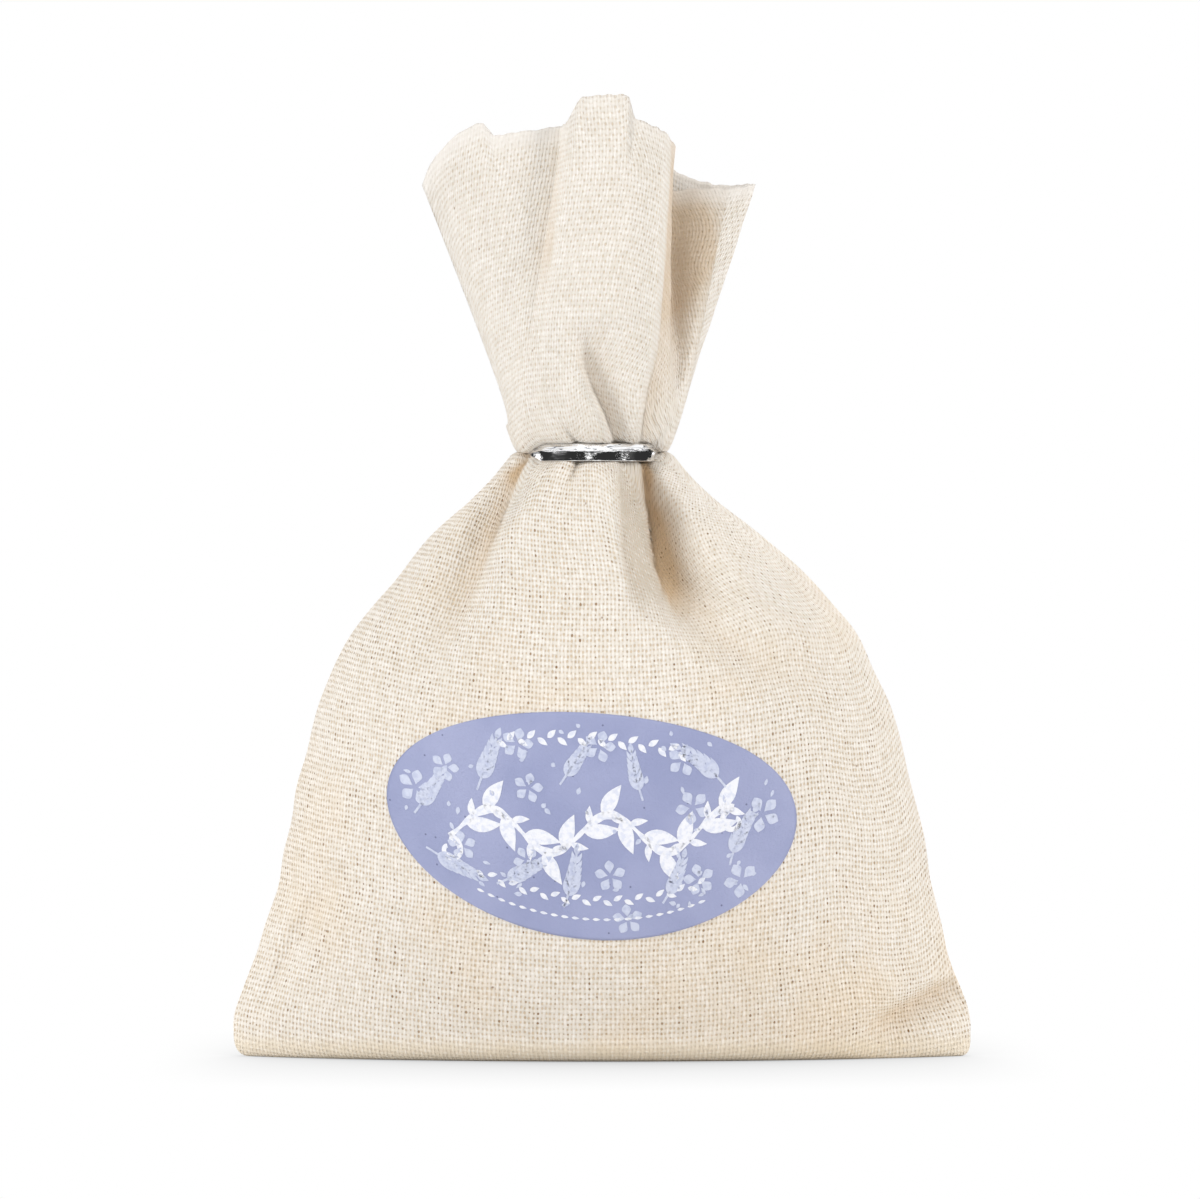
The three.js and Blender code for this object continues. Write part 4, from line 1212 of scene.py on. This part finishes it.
def wire_material():
    material, n = new_material("tie_wire")
    drawn = n.noise(n.place(), 3000.0)
    tint = n.mix(drawn, colour(120, 122, 126), colour(160, 162, 166))
    n.surface(Base_Color=tint, Metallic=1.0, Roughness=0.25 + drawn * 0.2)
    return material


silver_foil, tie_wire = foil_material(), wire_material()

# %% Lines of the tie
LEG_SPACING = 0.73
TURN_OUT = 1.5
TWIST_TURNS = 1.5
TAIL_SPLAY = 1.1
LOOP_STEPS, LEG_STEPS, TAIL_STEPS = 220, 12, 110

leg_end = wire_high[1]
tail_low, tail_high = node_box("tie_right_tail_wire")


def loop_frames():
    """Frames round the neck from the right leg at the back, past the front, to the left leg."""
    leave = math.asin((TURN_OUT + LEG_SPACING) / (LOOP_RADIUS + TURN_OUT))
    turn_x = LEG_SPACING + TURN_OUT
    turn_y = (LOOP_RADIUS + TURN_OUT) * math.cos(leave)
    bend = np.linspace(0, math.pi / 2 - leave, LEG_STEPS)
    right = table(turn_x - TURN_OUT * np.cos(bend), turn_y - TURN_OUT * np.sin(bend))
    straight = table(LEG_SPACING, np.linspace(leg_end, turn_y, 5)[:-1])
    round_neck = np.linspace(leave, 2 * math.pi - leave, LOOP_STEPS)[1:-1]
    ring = LOOP_RADIUS * table(np.sin(round_neck), np.cos(round_neck))
    left = np.concatenate([straight, right])[::-1] * (-1, 1)
    line = np.concatenate([straight, right, ring, left])
    way = heading(line)
    out = table(-way[:, 1], way[:, 0], 0)
    place = table(NECK_X + line[:, 0], line[:, 1], TIE_Z)
    return place, out, np.tile((0.0, 0.0, 1.0), (len(line), 1))


def tail_frames(hand):
    """Frames of one tail, wound round the other."""
    run = np.linspace(0, 1, TAIL_STEPS)
    angle = 2 * math.pi * TWIST_TURNS * run
    out = hand * table(np.cos(angle), 0, np.sin(angle))
    wide = table(-np.sin(angle), 0, np.cos(angle))
    along = tail_low[1] + (tail_high[1] - tail_low[1]) * run
    axis = table(NECK_X, along, TIE_Z)
    apart = LEG_SPACING + TAIL_SPLAY * smooth(run, 0.65, 1)
    return axis + out * apart[:, None], out, wide


# %% Strips and wires
CRINKLE = 0.035
FOIL = 0.06

# sections from the lower edge to the upper one: outwards from the wire, and up
loop_outer = [
    (0.05, -1.16), (0.26, -1.13), (0.3, -1.0), (0.31, -0.5), (0.3, -0.1),
    (0.26, 0.14), (0.17, 0.4), (0.0, 0.76), (-0.2, 1.12),
]
tail_outer = [(-0.2, -1.1), (0.08, -0.8), (0.24, -0.4), (0.33, 0.0), (0.24, 0.4), (0.08, 0.8), (-0.2, 1.1)]
flat_inner = [(-0.4, -1.05), (-0.38, -0.5), (-0.36, 0.0), (-0.38, 0.5), (-0.4, 1.05)]


def finer(section_points, count=25):
    through = curve(*[(i, *point) for i, point in enumerate(section_points)])
    return table(*through(np.linspace(0, len(section_points) - 1, count)))


def foil_strip(name, frames, section_points, seed):
    place, out, wide = frames
    profile = finer(section_points)
    run = measured(place)
    rows = np.zeros((len(profile), len(place), 3))
    for j, (x, y) in enumerate(profile):
        wide_crease = [noise.noise(Vector((r * 0.8, y * 0.9, seed))) for r in run]
        fine_crease = [noise.noise(Vector((r * 2.2, y * 2.5, seed + 5))) for r in run]
        push = x + CRINKLE * (np.array(wide_crease) + 0.5 * np.array(fine_crease))
        rows[j] = place + out * push[:, None] + wide * y
    bm = bmesh.new()
    spots = add_grid(bm, rows)
    add_uv(bm, spots, "foil", np.tile(run, (len(profile), 1)), np.tile(profile[:, 1:], (1, len(run))))
    strip = mesh_object(name, bm, silver_foil)
    give_thickness(strip, FOIL)
    return strip


def tube(name, line, radius, sides, material):
    """A round thread or wire along a line of points, closed at both ends."""
    way = heading(line)
    guide = np.where(np.abs(way[:, 2:]) < 0.9, (0.0, 0.0, 1.0), (0.0, 1.0, 0.0))
    first = unit(np.cross(way, guide))
    second = np.cross(way, first)
    angle = np.linspace(0, 2 * math.pi, sides + 1)
    rows = np.array([line + radius * (first * math.cos(t) + second * math.sin(t)) for t in angle])
    bm = bmesh.new()
    add_grid(bm, rows)
    bmesh.ops.remove_doubles(bm, verts=bm.verts, dist=radius * MM * 0.01)
    bmesh.ops.holes_fill(bm, edges=bm.edges, sides=sides)
    bmesh.ops.recalc_face_normals(bm, faces=bm.faces)
    return mesh_object(name, bm, material)


tie_parts = [
    ("tie_loop", "sachet", loop_frames(), loop_outer),
    ("tie_left_tail", "tie_tails", tail_frames(-1), tail_outer),
    ("tie_right_tail", "tie_tails", tail_frames(1), tail_outer),
]
for seed, (part, body, frames, outer_section) in enumerate(tie_parts):
    outer_strip = foil_strip(part + "_outer_foil", frames, outer_section, 3.0 * seed)
    inner_strip = foil_strip(part + "_inner_foil", frames, flat_inner, 3.0 * seed + 1)
    core = tube(part + "_core", frames[0], WIRE / 2, 10, tie_wire)
    for piece, node, finish in (
        (outer_strip, "_outer_film", "foil"),
        (inner_strip, "_inner_film", "foil"),
        (core, "_wire", "wire"),
    ):
        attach(piece, body)
        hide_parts(part + node)
print(f"loop radius {LOOP_RADIUS:.2f} mm, twist {tail_high[1] - tail_low[1]:.1f} mm long")

# %% [markdown]
# ## Cards and windows for the foil
# Metal looks like metal only when it has something to reflect. Dark cards stand in a wide ring round the
# table with a few bright windows in front of them, out of every view, and only mirror rays see them.

# %% Ring of cards
RING_RADIUS, RING_LOW, RING_HIGH = 0.2, 0.0, 0.17
WINDOW_GAP = 0.01
CARD_GLOW, PANE_GLOW = 0.03, 1.3
# angle from straight ahead, to the right, then radius and height
windows = [
    (-6.5, 0.024, 0.083), (52, 0.016, 0.08), (130, 0.03, 0.08), (200, 0.02, 0.1), (255, 0.03, 0.07),
]


def glow_material(name, level):
    material, n = new_material(name)
    n.finish(n.add("ShaderNodeEmission", {"Color": (level, level, level, 1)}))
    return material


ring_shape = bmesh.new()
bmesh.ops.create_cone(
    ring_shape, segments=48, radius1=RING_RADIUS, radius2=RING_RADIUS, depth=RING_HIGH - RING_LOW,
    matrix=Matrix.Translation((0, 0, (RING_LOW + RING_HIGH) / 2)),
)
window_shape = bmesh.new()
for angle, radius, height in windows:
    turn = Matrix.Rotation(math.radians(angle), 4, "Z")
    stand = Matrix.Translation((0, WINDOW_GAP - RING_RADIUS, height)) @ Matrix.Rotation(math.pi / 2, 4, "X")
    bmesh.ops.create_circle(window_shape, cap_ends=True, segments=24, radius=radius, matrix=turn @ stand)
cards = mesh_object("cards", ring_shape, glow_material("studio_card", CARD_GLOW), smooth_faces=False)
panes = mesh_object("windows", window_shape, glow_material("studio_window", PANE_GLOW), smooth_faces=False)
for mirrored in (cards, panes):
    for ray in ("camera", "diffuse", "transmission", "volume_scatter", "shadow"):
        setattr(mirrored, "visible_" + ray, False)

# %% [markdown]
# ## Seam threads
# The bag was sewn inside out and turned, so its thread lies inside. Each seam gets its lock stitch: a thread
# that sways from one panel to the other between the needle holes.

# %% Thread
THREAD = 0.42
THREAD_INSET = 1.1
STITCH = 2.6
SWAY = 0.16
SEAM_FEEL = 16


def thread_material():
    material, n = new_material("seam_thread")
    inputs = {"Vector": n.place(), "Scale": 900, "Distortion": 1.5}
    ply = n.get(n.add("ShaderNodeTexWave", inputs, wave_type="BANDS", bands_direction="DIAGONAL"), "Fac")
    tint = n.mix(ply, colour(206, 186, 152), colour(232, 218, 192))
    n.surface(Base_Color=tint, Roughness=0.85, Normal=n.bump(ply, 0.05 * MM), Sheen_Weight=0.15)
    return material


seam_thread = thread_material()


def stitched(name, line):
    """A swaying thread along a seam's line."""
    line = np.asarray(line)
    run = measured(line)
    place = np.linspace(0, run[-1], int(run[-1] / STITCH * 6))
    path = table(*[np.interp(place, run, line[:, k]) for k in range(3)])
    path[:, 1] += SWAY * np.sin(2 * math.pi * place / STITCH)
    return tube(name, path, THREAD / 2, 6, seam_thread)


def side_line(edge):
    """A line inside the bag, between the panels where they leave a side seam."""
    nearby = SEAM_FEEL if edge == 0 else -1 - SEAM_FEEL
    inwards = np.zeros_like(front_points[:, 0])
    for points, seam, inner in ((front_points, edge, nearby), (back_points, -1 - edge, -1 - nearby)):
        inwards += unit(points[:, inner] - points[:, seam])
    inwards[:, 2] = 0
    middle = (front_points[:, edge] + back_points[:, -1 - edge]) / 2 + THREAD_INSET * unit(inwards)
    return middle[FLOOR_ROWS + TURN_ROWS + 2 : -3]


bottom_reach = FLAT_WIDTH * HALF_WIDTH - 2 * THREAD_INSET
bottom_line = [(x, 0, CLOTH + 0.65) for x in np.linspace(-bottom_reach, bottom_reach, 60)]
for seam, line in (("left", side_line(0)), ("right", side_line(-1)), ("bottom", bottom_line)):
    stitches = stitched(seam + "_stitches", line)
    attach(stitches, "sachet")
    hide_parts(seam + "_seam_thread")

# %% [markdown]
# ## The flowers
# Dried lavender is a heap of small ribbed buds. Nobody sees them while the bag is closed, so each is a small
# rounded grain of few faces, strewn through the space that the filling takes up.

# %% Buds
BUD_COUNT = 1500
BUD_LENGTH, BUD_THICKNESS = 4.2, 1.7
BUD_MARGIN = 3.6


def bud_material():
    material, n = new_material("dried_lavender")
    place = n.place()
    pick = n.split(n.cells(place, 260, "3D")[1])[0]
    fine = n.noise(place, 1800.0, 3.0)
    tint = n.mix(n.step(pick, 0.2, 0.9), colour(88, 80, 122), colour(122, 112, 140))
    tint = n.mix(n.step(pick, 0.8, 0.9), tint, colour(126, 118, 92))
    tint = n.mix(fine * 0.4, tint, colour(60, 54, 80))
    n.surface(Base_Color=tint, Roughness=0.95, Normal=n.bump(fine, 0.2 * MM))
    return material


def make_buds():
    fill_low, fill_high = node_box("lavender_fill")
    draw = random.Random(5)
    bm = bmesh.new()
    made = 0
    while made < BUD_COUNT:
        z = draw.uniform(fill_low[2] + BUD_MARGIN / 2, fill_high[2] - BUD_MARGIN)
        half_width, half_depth, corner = (float(value) for value in section(z / TIE_Z))
        x = draw.uniform(-1, 1) * (half_width * HALF_WIDTH - 2 * BUD_MARGIN)
        share = math.acos(max(-1, min(1, -x / (half_width * HALF_WIDTH)))) / math.pi
        room = half_depth * HALF_DEPTH * math.sin(math.pi * share) ** corner - 2 * BUD_MARGIN
        if room < 0:
            continue
        y = draw.uniform(-1, 1) * room
        place = Matrix.Translation(Vector((x + float(middle_at(z)), y, z)) * MM)
        turn = Matrix.Rotation(draw.uniform(0, 6.3), 4, "Z") @ Matrix.Rotation(draw.uniform(0, 3.2), 4, "X")
        size = draw.uniform(0.75, 1.1) * MM
        thick, long = BUD_THICKNESS / 2 * size, BUD_LENGTH / 2 * size
        shape = Matrix.Diagonal((thick, thick, long, 1))
        bmesh.ops.create_icosphere(bm, subdivisions=1, radius=1, matrix=place @ turn @ shape)
        made += 1
    return mesh_object("lavender_buds", bm, bud_material())


buds = make_buds()
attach(buds, "sachet")
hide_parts("lavender_fill")
print("bud faces:", len(buds.data.polygons))
